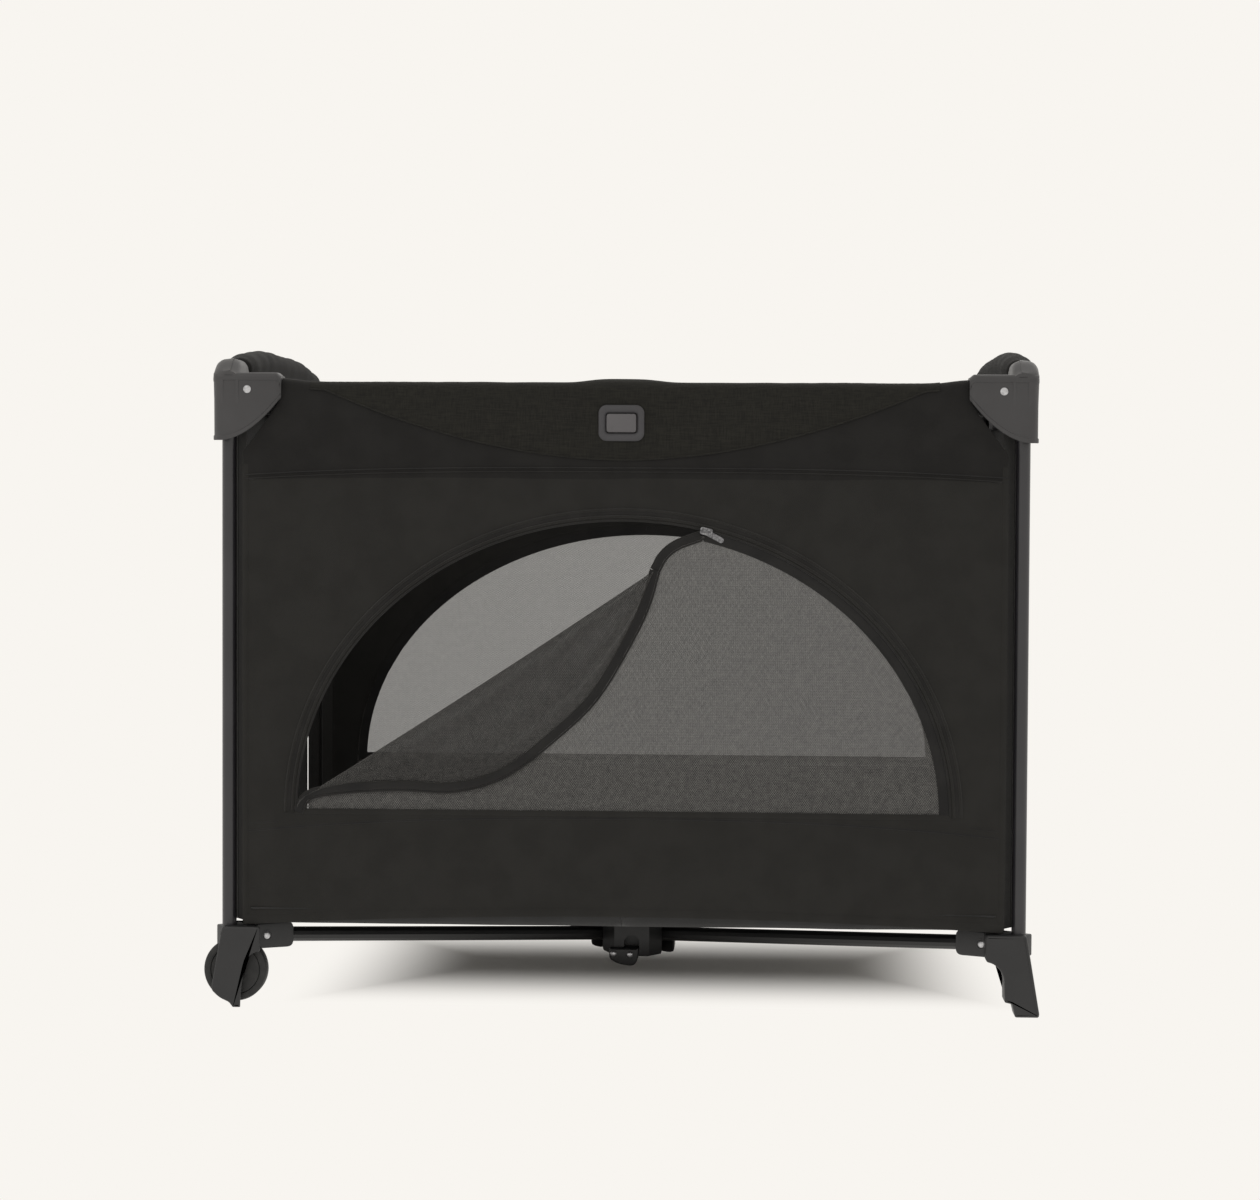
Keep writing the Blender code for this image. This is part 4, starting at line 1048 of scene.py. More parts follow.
def casing_wing(name, corner, long_side, finish):
    """One wing of a hood. s runs from the outer corner inward along the wing."""
    sx, sy = CORNERS[corner]
    length = LONG_WING if long_side else SHORT_WING
    out, reach = (LONG_OUT, SHORT_OUT) if long_side else (SHORT_OUT, LONG_OUT)
    stations = [0.0, 0.0006, 0.0018, 0.0034, 0.0054, 0.0078, 0.0100, 0.0135, 0.018, 0.024, 0.031, 0.038,
                0.045, 0.052, 0.059, 0.066, 0.072]
    stations += [length - short for short in (0.0085, 0.0055, 0.0035, 0.0018, 0.0006, 0.0)]
    loops = []
    for s in stations:
        left = CORNER_ROUND - min(s, CORNER_ROUND)
        rounding = CORNER_ROUND - math.sqrt(max(0.0, CORNER_ROUND ** 2 - left ** 2))
        loop = []
        for face, z in wing_section(s, long_side, length, out, CASE_IN):
            bend = rounding * ease(face, -0.004, out - 0.002)
            taper = 0.0022 * (CASE_TOP - z) / (CASE_TOP - CASE_LOW) * (1 - ease(s, 0.004, 0.03))
            u, v = (reach - s - taper, face - bend)
            x, y = (POST_X + u, POST_Y + v) if long_side else (POST_X + v, POST_Y + u)
            loop.append((MID + sx * x, sy * y, z))
        loops.append(loop)
    wing = stack(name, loops, finish, "corner_" + corner)
    return wing


def dome_rivet(name, place, axis, radius, rise, body):
    """A low round rivet head in a shallow dark seat."""
    turn = Vector(axis).to_track_quat("Z", "Y").to_matrix().to_4x4()
    at = Matrix.Translation(place) @ turn
    profile = [(0.0004, rise), (radius * 0.35, rise * 0.96), (radius * 0.62, rise * 0.80),
               (radius * 0.84, rise * 0.5), (radius * 0.97, rise * 0.15), (radius, -0.0004), (radius, -0.003)]
    lathe(name, profile, at, rivet_steel, body, 28)


for corner, (sx, sy) in CORNERS.items():
    body = "corner_" + corner
    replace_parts(casing_wing("hood_long_" + corner, corner, True, casing_plastic), "casing_" + corner)
    casing_wing("hood_ear_" + corner, corner, False, ear_plastic)
    dome_rivet("rivet_long_" + corner, (MID + sx * PIVOT_X, sy * (CASE_Y - 0.0008), RAIL_Z), (0, sy, 0),
               0.0052, 0.0016, body)
    dome_rivet("rivet_side_" + corner, (MID + sx * (CASE_X - 0.0008), sy * PIVOT_Y, RAIL_Z), (sx, 0, 0),
               0.0052, 0.0016, body)
print("four hoods, top at", round(CASE_TOP, 3), "ears at", round(EAR_TOP, 3))

# %% [markdown]
# ## The feet
# All four feet share an arm that points at the hub and holds the end of a bottom bar between two
# cheeks. Under it the plain feet flare outward to the floor, and the wheeled feet are a fork: an outer
# leg with a toe that carries the load, and a wheel behind it which only touches when the cot is tipped.
# %% Profiles turned into bevelled plates
def plate_xz(name, outline, y_near, y_far, finish, body, bevel):
    """A flat outline in x and z given a thickness along y, with rounded edges."""
    bm = bmesh.new()
    near = [bm.verts.new((x, y_near, z)) for x, z in outline]
    far = [bm.verts.new((x, y_far, z)) for x, z in outline]
    bm.faces.new(near)
    bm.faces.new(list(reversed(far)))
    count = len(outline)
    for i in range(count):
        bm.faces.new((near[i], far[i], far[(i + 1) % count], near[(i + 1) % count]))
    bmesh.ops.recalc_face_normals(bm, faces=bm.faces)
    rims = [e for e in bm.edges if e.verts[0].co.y == e.verts[1].co.y]
    bmesh.ops.bevel(bm, geom=rims, offset=bevel, segments=3, profile=0.5, affect="EDGES")
    return dressed(bm, name, finish, body, 40)


def smooth_outline(points, steps=4):
    """Rounds a polygon by passing a soft curve through its points. A third value of 0 keeps a corner."""
    out = []
    count = len(points)
    for i, point in enumerate(points):
        before, after = points[i - 1], points[(i + 1) % count]
        here = Vector(point[:2])
        radius = point[2] if len(point) > 2 else 0.002
        if radius <= 0:
            out.append(tuple(here))
            continue
        a, b = (Vector(before[:2]) - here), (Vector(after[:2]) - here)
        cut = min(radius, a.length * 0.48, b.length * 0.48)
        start, end = here + a.normalized() * cut, here + b.normalized() * cut
        for k in range(steps + 1):
            t = k / steps
            out.append(tuple(start * (1 - t) ** 2 + here * 2 * t * (1 - t) + end * t * t))
    return out


FOOT_TOP, ARM_LOW = 0.102, 0.070
ARM_REACH, ARM_HALF, BAR_SLOT = 0.082, 0.015, 0.0103
PIN_IN, PIN_Z = 0.045, 0.086
WHEEL_AXIS = Vector((MID - POST_X + 0.009, POST_Y + 0.0005, 0.046))

PLAIN_LEG = [(0.0085, 0.102, 0.003), (0.0250, 0.0040, 0.003), (0.0240, 0.0, 0.002), (-0.0050, 0.0, 0.002),
             (-0.0090, 0.0165, 0.002), (-0.0183, 0.0185, 0.002), (-0.0188, 0.047, 0.008),
             (-0.0225, 0.0575, 0.008),
             (-0.0320, 0.0665, 0.008), (-0.0420, 0.0690, 0.004), (-0.0420, 0.102, 0.003)]
WHEEL_LEG = [(0.0060, 0.102, 0.003), (0.0190, 0.0290, 0.006), (0.0195, 0.0215, 0.005), (0.0100, 0.0122, 0.006),
             (-0.0030, 0.0062, 0.003), (-0.0075, 0.0, 0.001), (-0.0168, 0.0, 0.001), (-0.0172, 0.012, 0.004),
             (-0.0215, 0.0460, 0.010), (-0.0262, 0.0625, 0.008), (-0.0345, 0.0690, 0.006), (-0.0420, 0.0700, 0.004),
             (-0.0420, 0.102, 0.003)]


def arm_place(sx, sy):
    """A place on the upright's axis with its X axis pointing at the hub."""
    return Matrix.Translation((MID + sx * POST_X, sy * POST_Y, 0)) @ Matrix.Rotation(
        math.atan2(-sy * POST_Y, -sx * POST_X), 4, "Z")


def arm_outline(reach):
    """Side view of a cheek: a bar with a round end."""
    return smooth_outline([(0.004, ARM_LOW + 0.0008, 0.003), (reach, ARM_LOW - 0.0010, 0.009),
                           (reach, FOOT_TOP - 0.0005, 0.009), (0.004, FOOT_TOP - 0.0003, 0.003)], 5)


def foot_arm(name, sx, sy, body):
    """Two cheeks with a floor between them, and a rivet head on each cheek."""
    place = arm_place(sx, sy)
    parts = [plate_xz(f"{name}_cheek_{side}", arm_outline(ARM_REACH), side * (BAR_SLOT + 0.0001),
                      side * ARM_HALF, foot_plastic, body, 0.0014) for side in (-1, 1)]
    floor_outline = [(0.010, ARM_LOW + 0.0008), (ARM_REACH - 0.010, ARM_LOW - 0.0004),
                     (ARM_REACH - 0.010, ARM_LOW + 0.0023), (0.010, ARM_LOW + 0.0023)]
    parts.append(plate_xz(name + "_floor", floor_outline, -BAR_SLOT - 0.001, BAR_SLOT + 0.001, foot_plastic,
                          body, 0.0003))
    block_outline = smooth_outline([(-0.011, ARM_LOW + 0.004, 0.002), (0.0295, ARM_LOW + 0.001, 0.002),
                                    (0.0295, FOOT_TOP - 0.001, 0.002), (-0.011, FOOT_TOP - 0.001, 0.002)])
    parts.append(plate_xz(name + "_block", block_outline, -ARM_HALF + 0.0004, ARM_HALF - 0.0004, foot_plastic,
                          body, 0.0015))
    for part in parts:
        part.data.transform(place)
    arm = merged(name + "_arm", parts)
    for side in (-1, 1):
        at = place @ Vector((PIN_IN, side * (ARM_HALF - 0.0004), PIN_Z))
        out = place.to_3x3() @ Vector((0, side, 0))
        dome_rivet(f"{name}_rivet_{side}", at, out, 0.0050, 0.0016, body)
        turn = out.to_track_quat("Z", "Y").to_matrix().to_4x4()
        rim = [(0.0075, 0.0), (0.0075, 0.0007), (0.0058, 0.0009), (0.0053, 0.0002)]
        seat = lathe(f"{name}_seat_{side}", rim, Matrix.Translation(at) @ turn, foot_plastic, body, 28)


INNER_LEG = [(0.006, 0.102, 0.003), (0.012, 0.070, 0.004), (0.011, 0.036, 0.008), (-0.004, 0.030, 0.008),
             (-0.022, 0.034, 0.008), (-0.027, 0.060, 0.006), (-0.036, 0.070, 0.004), (-0.038, 0.102, 0.003)]
FORK_TOP = [(0.005, 0.102, 0.002), (0.0085, 0.0905, 0.002), (-0.034, 0.0905, 0.002), (-0.036, 0.102, 0.002)]


def leg(name, outline, corner, near, far, bevel):
    """The leg under an upright, made from its side view."""
    sx, sy = CORNERS[corner]
    shape = [(MID + sx * (POST_X + u), z) for u, z in smooth_outline(outline)]
    name, body = f"foot_{corner}_{name}", "corner_" + corner
    obj = plate_xz(name, shape, sy * near, sy * far, foot_plastic, body, bevel)
    return obj


for corner, (sx, sy) in CORNERS.items():
    foot_arm("foot_" + corner, sx, sy, "corner_" + corner)
    if sx > 0:
        main = leg("leg", PLAIN_LEG, corner, POST_Y - 0.019, CASE_Y, 0.0035)
    else:
        main = leg("outer_leg", WHEEL_LEG, corner, POST_Y + 0.0145, CASE_Y, 0.003)
        leg("inner_leg", INNER_LEG, corner, POST_Y - 0.0325, POST_Y - 0.0145, 0.002)
        leg("bridge", FORK_TOP, corner, POST_Y - 0.031, CASE_Y - 0.001, 0.001)
    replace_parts(main, "foot_" + corner)
print("four feet")

# %% [markdown]
# Each wheel is a turned tyre on a turned core. Six spokes on either face stand on the core's web.
# %% Wheels
WHEEL_HALF = 0.010          # half of the wheel's width
for corner in ("front_left", "rear_left"):
    sy = CORNERS[corner][1]
    place = Matrix.Translation((WHEEL_AXIS.x, sy * WHEEL_AXIS.y, WHEEL_AXIS.z)) @ Matrix.Rotation(
        math.radians(-90) * sy, 4, "X")
    half, wheel = WHEEL_HALF, "wheel_" + corner
    tyre = [(0.0305, half - 0.0008), (0.0318, half), (0.0365, half), (0.0388, half - 0.0010),
            (0.0398, half - 0.0032)]
    tyre += [(r, -h) for r, h in reversed(tyre)]
    tyre += [(0.0300, -half + 0.002), (0.0300, half - 0.002)]
    tyre.append(tyre[0])
    ring = lathe("tyre_" + corner, tyre, place, tyre_rubber, wheel, 72)
    core = [(0.0046, half), (0.0095, half), (0.0108, half - 0.001), (0.0120, half - 0.0045),
            (0.0265, half - 0.0055), (0.0285, half - 0.0018), (0.0303, half - 0.0012)]
    core += [(r, -h) for r, h in reversed(core)]
    core.append(core[0])
    centre = lathe("wheel_core_" + corner, core, place, foot_plastic, wheel, 60)
    spokes = []
    for k in range(6):
        turn = place @ Matrix.Rotation(2 * math.pi * k / 6, 4, "Z")
        for face in (-1, 1):
            ends = [(0.011, -0.0016), (0.028, -0.0012), (0.028, 0.0012), (0.011, 0.0016)]
            loops = [[turn @ Vector((r, w, face * h)) for r, w in ends]
                     for h in (half - 0.0060, half - 0.0022)]
            spokes.append(stack(f"spoke_{corner}_{k}_{face}", loops, foot_plastic, wheel))
    spokes = merged("spokes_" + corner, spokes)
    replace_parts(ring, wheel)
    paint_node("axle_" + corner, rivet_steel)
print("two wheels of", round(2 * 0.0398, 3), "m")

# %% [markdown]
# ## The floor hub
# The four bottom bars meet in an eight-sided hub. It has a flanged lid with a round dish, a pull in the
# dish under the mattress, and a lock with two bright pins under its front. The bars swing down out of
# open slots when the hub is pulled up, so the slots are really cut.
# %% Hub
def eight_sided(half, z, steps=48, low=None):
    """A loop round an octagon with its flats half away from the middle."""
    loop = []
    for i in range(steps):
        angle = 2 * math.pi * i / steps
        fold = (angle + math.pi / 8) % (math.pi / 4) - math.pi / 8
        reach = half / math.cos(fold)
        x, y = reach * math.cos(angle), reach * math.sin(angle)
        loop.append((MID + x, y, z if low is None else low(x)))
    return loop


def ring_loop(radius, z, steps=48):
    return [(MID + radius * math.cos(2 * math.pi * i / steps), radius * math.sin(2 * math.pi * i / steps), z)
            for i in range(steps)]


def cut_away(obj, cutters):
    """Takes plain solids out of a piece, and removes the solids."""
    for cutter in cutters:
        modifier = obj.modifiers.new("cut", "BOOLEAN")
        modifier.object = cutter
        modifier.operation = "DIFFERENCE"
        modifier.solver = "EXACT"
        bpy.context.view_layer.update()
        result = bpy.data.meshes.new_from_object(obj.evaluated_get(bpy.context.evaluated_depsgraph_get()))
        obj.modifiers.remove(modifier)
        obj.data = result
        bpy.data.objects.remove(cutter)
    obj.data.shade_smooth()
    obj.data.set_sharp_from_angle(angle=math.radians(30))
    return obj


def block_at(place, low, high):
    """A plain box that is only used to cut with."""
    bm = bmesh.new()
    bmesh.ops.create_cube(bm, size=1.0)
    size = [h - l for l, h in zip(low, high)]
    middle = [(l + h) / 2 for l, h in zip(low, high)]
    bm.transform(place @ Matrix.Translation(middle) @ Matrix.Diagonal((*size, 1)))
    mesh = bpy.data.meshes.new("cutter")
    bm.to_mesh(mesh)
    bm.free()
    return add_object("cutter", mesh)


HUB_PIN, HUB_PIN_Z, HUB_TOP = 0.050, 0.048, 0.0625


def hub_low(rise):
    """The hub's underside climbs to the left, where its web runs out to the bar."""
    return lambda x: 0.0200 + 0.30 * max(0.0, -x - 0.022) + 0.05 * max(0.0, x - 0.02) + rise


def toward(sx, sy):
    """The hub's middle, with its X axis pointing at a corner."""
    return Matrix.Translation((MID, 0, 0)) @ Matrix.Rotation(math.atan2(sy * POST_Y, sx * POST_X), 4, "Z")


hub_loops = [eight_sided(0.0570, HUB_TOP), eight_sided(0.0572, 0.045)]
hub_loops += [eight_sided(half, 0, low=hub_low(rise))
              for half, rise in ((0.0568, 0.004), (0.0556, 0.001), (0.0520, 0.0))]
hub = stack("hub_body", hub_loops, hub_plastic, "hub")
cutters = []
for corner, (sx, sy) in CORNERS.items():
    slot_low, slot_high = (HUB_PIN - 0.0145, -BAR_SLOT, -0.01), (0.12, BAR_SLOT, HUB_TOP + 0.01)
    cutters.append(block_at(toward(sx, sy), slot_low, slot_high))
cutters.append(block_at(Matrix.Translation((MID, 0, 0)), (-0.0105, -0.09, 0.0285), (0.0105, -0.045, 0.0390)))
arch_cut = lathe("cutter", [(0.0105, -0.02), (0.0105, 0.02)], Matrix.Translation((MID, -0.060, 0.0390))
                 @ Matrix.Rotation(math.pi / 2, 4, "X"), hub_plastic, "hub", 24)
cutters.append(arch_cut)
cut_away(hub, cutters)
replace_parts(hub, "hub_base")
bevel = hub.modifiers.new("soft_edges", "BEVEL")
bevel.width = 0.0006
bevel.segments = 2
bevel.limit_method = "ANGLE"
bevel.angle_limit = math.radians(35)

flange = [(0.0560, HUB_TOP + 0.0003), (0.0695, HUB_TOP + 0.0006), (0.0712, HUB_TOP + 0.0022),
          (0.0712, 0.0732), (0.0700, 0.0750), (0.0680, 0.0756)]
dish = [(0.0470, 0.0756), (0.0440, 0.0750), (0.0425, 0.0700), (0.0405, 0.0693), (0.0090, 0.0693)]
lid_loops = [eight_sided(half, z) for half, z in flange] + [ring_loop(radius, z) for radius, z in dish]
lid = stack("hub_lid", lid_loops, hub_plastic, "hub")
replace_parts(lid, "hub_cap")
pull_profile = [(0.0002, 0.0815), (0.010, 0.0817), (0.022, 0.0815), (0.0275, 0.0808), (0.0296, 0.0790),
                (0.0300, 0.0765), (0.0292, 0.0735), (0.0280, 0.0702), (0.0085, 0.0698), (0.0080, 0.0690),
                (0.0080, 0.0365), (0.0002, 0.0365)]
pull = lathe("hub_pull_knob", pull_profile, Matrix.Translation((MID, 0, 0)), button_plastic, "hub_pull", 64)
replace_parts(pull, "hub_pull")
lock_outline = smooth_outline([(-0.0300, 0.0330, 0.002), (-0.0305, 0.0170, 0.006), (-0.0160, 0.0100, 0.006),
                               (0.0020, 0.0078, 0.006), (0.0085, 0.0150, 0.006), (0.0098, 0.0330, 0.002)])
lock_outline = [(MID + u, z) for u, z in lock_outline]
lock = plate_xz("hub_lock", lock_outline, -0.0625, -0.040, hub_plastic, "hub", 0.0025)
for index, (u, z) in enumerate(((-0.0246, 0.0250), (-0.0023, 0.0240))):
    dome_rivet(f"lock_pin_{index}", (MID + u, -0.0622, z), (0, -1, 0), 0.0043, 0.0022, "hub")
for corner, (sx, sy) in CORNERS.items():
    place = toward(sx, sy) @ Matrix.Translation((HUB_PIN, 0, HUB_PIN_Z))
    place = place @ Matrix.Rotation(math.pi / 2, 4, "X")
    pin = lathe("hub_pin_" + corner, [(0.0030, -0.0125), (0.0030, 0.0125)], place, rivet_steel, "hub", 16)
print("hub with", len(hub.data.polygons), "faces")

# %% [markdown]
# ## Centre latches
# In the middle of each top rail a latch locks the two half rails in line. All that shows is a barrel
# shaped bezel with a button in it, which releases the rail. The housing behind it is a fork round the
# rail ends. One function makes it facing us, and then turns it to its side.
# %% Latches
END_RAIL_Z = RAIL_Z + 0.024
LATCHES = {"front": (0.0, POST_Y, RAIL_Z), "rear": (math.pi, POST_Y, RAIL_Z),
           "left": (-math.pi / 2, POST_X, END_RAIL_Z), "right": (math.pi / 2, POST_X, END_RAIL_Z)}
BUTTON_DROP = 0.0404


def facing(loop, turn):
    """Points given as along, out and height, turned to face a side."""
    spin = Matrix.Translation((MID, 0, 0)) @ Matrix.Rotation(turn, 4, "Z")
    return [tuple(spin @ Vector((u, -out, z))) for u, out, z in loop]


def barrels(name, rings, centre, turn, finish, body):
    """Barrel-shaped rings of (half width, half height, corner, bulge, out), joined into one solid."""
    loops = []
    for half_u, half_z, radius, bulge, out in rings:
        outline = rounded_rectangle(half_u, half_z, radius, 6, bulge)
        loops.append(facing([(centre[0] + u, out, centre[1] + z) for u, z in outline], turn))
    return stack(name, loops, finish, body)


def latch_pieces(side, turn, distance, rail_z):
    face = distance + 0.0168
    shift = -0.0024 if side == "front" else 0.0
    centre = (shift, rail_z - BUTTON_DROP)
    rings = [(0.0262, 0.0206, 0.0080, 0.0016, face - 0.0050), (0.0275, 0.0214, 0.0085, 0.0016, face - 0.0030),
             (0.0278, 0.0216, 0.0088, 0.0017, face - 0.0012), (0.0270, 0.0208, 0.0085, 0.0017, face - 0.0001),
             (0.0252, 0.0190, 0.0075, 0.0015, face + 0.0006), (0.0226, 0.0160, 0.0050, 0.0012, face + 0.0003),
             (0.0204, 0.0134, 0.0034, 0.0008, face - 0.0009), (0.0192, 0.0122, 0.0028, 0.0006, face - 0.0022),
             (0.0190, 0.0120, 0.0028, 0.0006, face - 0.0110)]
    bezel = barrels("bezel_" + side, rings, centre, turn, bezel_plastic, "latch_" + side)
    low, seat = rail_z - 0.0625, rail_z - 0.014
    blocks = []
    for label, near, far, bottom, top_z in (("outer", 0.0090, 0.0129, low + 0.001, rail_z + 0.0035),
                                            ("inner", -0.0129, -0.0090, low + 0.001, rail_z + 0.0035),
                                            ("base", -0.0125, 0.0125, low, seat)):
        outline = smooth_outline([(-0.0275, bottom, 0.004), (0.0275, bottom, 0.004), (0.0275, top_z, 0.004),
                                  (-0.0275, top_z, 0.004)])
        part = plate_xz(f"latch_{label}_{side}", outline, -(distance + near), -(distance + far),
                        bezel_plastic, "latch_" + side, 0.0008)
        part.data.transform(Matrix.Translation((MID, 0, 0)) @ Matrix.Rotation(turn, 4, "Z"))
        blocks.append(part)
    housing = merged("latch_housing_" + side, blocks)
    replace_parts(housing, "latch_" + side)
    caps = [(0.0176, 0.0106, 0.0026, 0.0005, face - 0.0095), (0.0184, 0.0114, 0.0030, 0.0006, face - 0.0085),
            (0.0184, 0.0114, 0.0030, 0.0006, face - 0.0002), (0.0180, 0.0110, 0.0030, 0.0006, face + 0.0007),
            (0.0172, 0.0102, 0.0028, 0.0006, face + 0.0012), (0.0120, 0.0060, 0.0020, 0.0004, face + 0.0013)]
    button = barrels("push_button_" + side, caps, centre, turn, button_plastic, "button_" + side)
    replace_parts(button, "button_" + side)


for side, (turn, distance, rail_z) in LATCHES.items():
    latch_pieces(side, turn, distance, rail_z)
print("four latches")

# %% [markdown]
# ## Sleeves over the long rails
# A band of cloth is sewn to the top of each long wall, goes over the rail and hangs down a little
# inside. Its section is drawn round the rail, and every part of it is found by its distance along that
# section. Each half rides on its own half rail.
# %% Section of a sleeve
SLEEVE_R = 0.0098
SLEEVE_LOW = 0.664
INSIDE_LOW = 0.738


def sleeve_section(distance, skin_out):
    """The line of the sleeve from its seam, up the outside, over the rail and down inside."""
    line = [(skin_out + 0.0006, SLEEVE_LOW)]
    for i in range(1, 9):
        share = i / 8
        out = skin_out + 0.0006 + (distance + SLEEVE_R - skin_out - 0.0006) * share ** 2.2
        line.append((out + 0.0012 * math.sin(math.pi * share), SLEEVE_LOW + (RAIL_Z - SLEEVE_LOW) * share))
    for i in range(1, 13):
        angle = math.pi * i / 12
        line.append((distance + SLEEVE_R * math.cos(angle), RAIL_Z + SLEEVE_R * math.sin(angle)))
    for i in range(1, 5):
        line.append((distance - SLEEVE_R + 0.0012 * i / 4, RAIL_Z - (RAIL_Z - INSIDE_LOW) * i / 4))
    return np.array(line)


long_section = sleeve_section(POST_Y, LONG_SKIN)
section_steps = np.hypot(*np.diff(long_section, axis=0).T)
section_length = np.concatenate(([0], np.cumsum(section_steps)))
SLEEVE_SPAN = float(section_length[-1])


def section_at(length):
    """A point (out, z) on the sleeve's section, and the direction it faces there."""
    out = float(np.interp(length, section_length, long_section[:, 0]))
    z = float(np.interp(length, section_length, long_section[:, 1]))
    ahead = min(length + 0.0015, SLEEVE_SPAN)
    behind = max(length - 0.0015, 0.0)
    run = [float(np.subtract(*np.interp((ahead, behind), section_length, long_section[:, axis])))
           for axis in (0, 1)]
    size = math.hypot(*run)
    return out, z, (run[1] / size, -run[0] / size)


def sleeve_point(side, u, length, lift=0.0):
    """A point on a long sleeve, which rises over the latch and by the hoods, and ripples faintly."""
    out, z, (face_out, face_z) = section_at(length)
    high = ease(z, RAIL_Z - 0.030, RAIL_Z - 0.002)
    rise = 0.0050 * ease(abs(u), 0.375, 0.432) * ease(z, RAIL_Z - 0.030, RAIL_Z + 0.006)
    over_latch = 0.0046 * math.exp(-(u / 0.050) ** 4) * high
    ripple = 0.0007 * noise.noise(Vector((u * 13, length * 24, 2 if side == "front" else 7)))
    off = lift + over_latch + ripple * ease(length, 0.0, 0.03)
    return on_wall(side, u, out + face_out * off, z + rise + face_z * off)


def length_at(z):
    """Distance along the section at which the outside reaches a height."""
    return float(np.interp(z, long_section[:9, 1], section_length[:9]))


def draw_up(obj):
    """Gives the piece its own copy of its mesh."""
    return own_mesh(obj)


print("sleeve is cut", round(SLEEVE_SPAN, 3), "m wide")

# %% [markdown]
# Each half sleeve carries half of the lens-shaped melange panel with its seam. A short gusset closes it
# beside the hood, and two stitched ridges run along the seam to the wall.
# %% Sleeves, their gussets and the lens-shaped panels
SLEEVE_END = 0.4287
LENS_HALF = 0.392
GUSSET_HIGH, GUSSET_LOW, GUSSET_END = 0.7628, 0.6977, 0.4767


def lens_low(u):
    """Lower edge of the melange panel, a shallow curve that meets the rail near the hoods."""
    return 0.690 + 0.094 * min(1.0, abs(u) / LENS_HALF) ** 1.9


def rail_halves(sides):
    """Each half of the given sides, with its corner."""
    return [(side, sign, corner_at(side, sign)) for side in sides for sign in (-1, 1)]


sleeves = []
for side, sign, corner in rail_halves(("front", "rear")):
    body, edge = "top_rail_" + corner, WALLS[side]["edge"]
    columns, rows = 44, 40
    points = [sleeve_point(side, sign * SLEEVE_END * c / columns, SLEEVE_SPAN * r / rows)
              for c in range(columns + 1) for r in range(rows + 1)]
    sleeve = piece("sleeve_" + corner, points, grid_faces(columns + 1, rows + 1), cover_cloth, body)
    thicken(sleeve, 0.0010, -1)
    sleeves.append(draw_up(sleeve))
    points = []
    for c in range(11):
        u = SLEEVE_END + (edge - SLEEVE_END) * c / 10
        slope = (GUSSET_HIGH - GUSSET_LOW) * (u - SLEEVE_END) / (GUSSET_END - SLEEVE_END)
        reach = length_at(GUSSET_HIGH - slope)
        points += [sleeve_point(side, sign * u, reach * r / 12) for r in range(13)]
    draw_up(piece("gusset_" + corner, points, grid_faces(11, 13), cover_cloth, body))
    points = []
    for c in range(columns + 1):
        u = sign * LENS_HALF * c / columns
        first = length_at(lens_low(u))
        points += [sleeve_point(side, u, first + (SLEEVE_SPAN - first) * r / 30, 0.0010) for r in range(31)]
    panel = piece("lens_panel_" + corner, points, grid_faces(columns + 1, 31), melange_cloth, body)
    draw_up(panel)
    us = [sign * LENS_HALF * c / 48 for c in range(49)]
    path = [sleeve_point(side, u, length_at(lens_low(u)), 0.0012) for u in us]
    draw_up(tube("lens_seam_" + corner, path, 0.0009, melange_cloth, body, 8))
    us = [sign * edge * c / 40 for c in range(41)]
    for index, (rise, finish) in enumerate(((0.0015, piping_cloth), (0.0065, binding_cloth))):
        path = [sleeve_point(side, u, length_at(seam_height(side, u) + rise), 0.0002) for u in us]
        draw_up(tube(f"sleeve_seam_{index}_{corner}", path, 0.0010, finish, body, 6))
print(len(sleeves), "sleeves")

# %% [markdown]
# ## Padded covers over the end rails
# At the ends the cloth band is quilted: it is thick, it rolls over the arched rail and its top stands
# above the hoods. Each half is a thick skirt with a round roll on top, a little lumpy from its filling.
# %% End covers
END_COVER_END = CASE_Y - SHORT_WING - 0.0005


def end_rail_height(v):
    """Height of the arched end rail's axis at a distance from the middle."""
    share = min(1.0, max(0.0, (PIVOT_Y - abs(v)) / (PIVOT_Y - 0.015)))
    return RAIL_Z + 0.024 * math.sin(share * math.pi / 2)


def cover_section(v):
    """Outer and inner line of the cover at a place along the end, as (out, z)."""
    axis_z = end_rail_height(v)
    top_z = 0.8255 + 0.0115 * ease(END_COVER_END - abs(v), 0.0, 0.16)
    neck = ease(abs(v), END_COVER_END - 0.030, END_COVER_END)
    half = 0.0205 - 0.004 * neck
    top_z -= 0.006 * neck
    roll_z = top_z - half * 0.92
    outer = [(END_SKIN + 0.0008, SLEEVE_LOW), (END_SKIN + 0.0022, SLEEVE_LOW + 0.030),
             (END_SKIN + 0.0036, SLEEVE_LOW + 0.065), (END_SKIN + 0.0050, SLEEVE_LOW + 0.095)]
    for i in range(13):
        angle = -0.35 + (math.pi + 0.70) * i / 12
        outer.append((POST_X + half * math.cos(angle), roll_z + half * 0.92 * math.sin(angle)))
    outer.append((POST_X - 0.0120, axis_z - 0.040))
    inner = [(POST_X - 0.0095, axis_z - 0.040)]
    for i in range(9):
        angle = math.pi * (1 - i / 8)
        inner.append((POST_X + 0.0092 * math.cos(angle), axis_z + 0.0092 * math.sin(angle)))
    inner += [(END_SKIN - 0.0010, SLEEVE_LOW + 0.070), (END_SKIN - 0.0016, SLEEVE_LOW)]
    return outer, inner


def cover_loop(side, v, sign):
    outer, inner = cover_section(v)
    loop = []
    for index, (out, z) in enumerate(outer + inner):
        lump = 0.0
        if 0 < index < len(outer) - 1:
            where = Vector((abs(v) * 26, z * 34, 3 if side == "left" else 8))
            lump = 0.0016 * noise.noise(where) * ease(z, 0.70, 0.79)
            lump -= 0.0010 * (0.5 + 0.5 * math.cos(abs(v) * 2 * math.pi / 0.055)) * ease(z, 0.75, 0.80)
        away = Vector((out - POST_X, z - end_rail_height(v)))
        away = away / max(away.length, 1e-6)
        loop.append(on_wall(side, sign * v, out + away.x * lump, z + away.y * lump))
    return loop


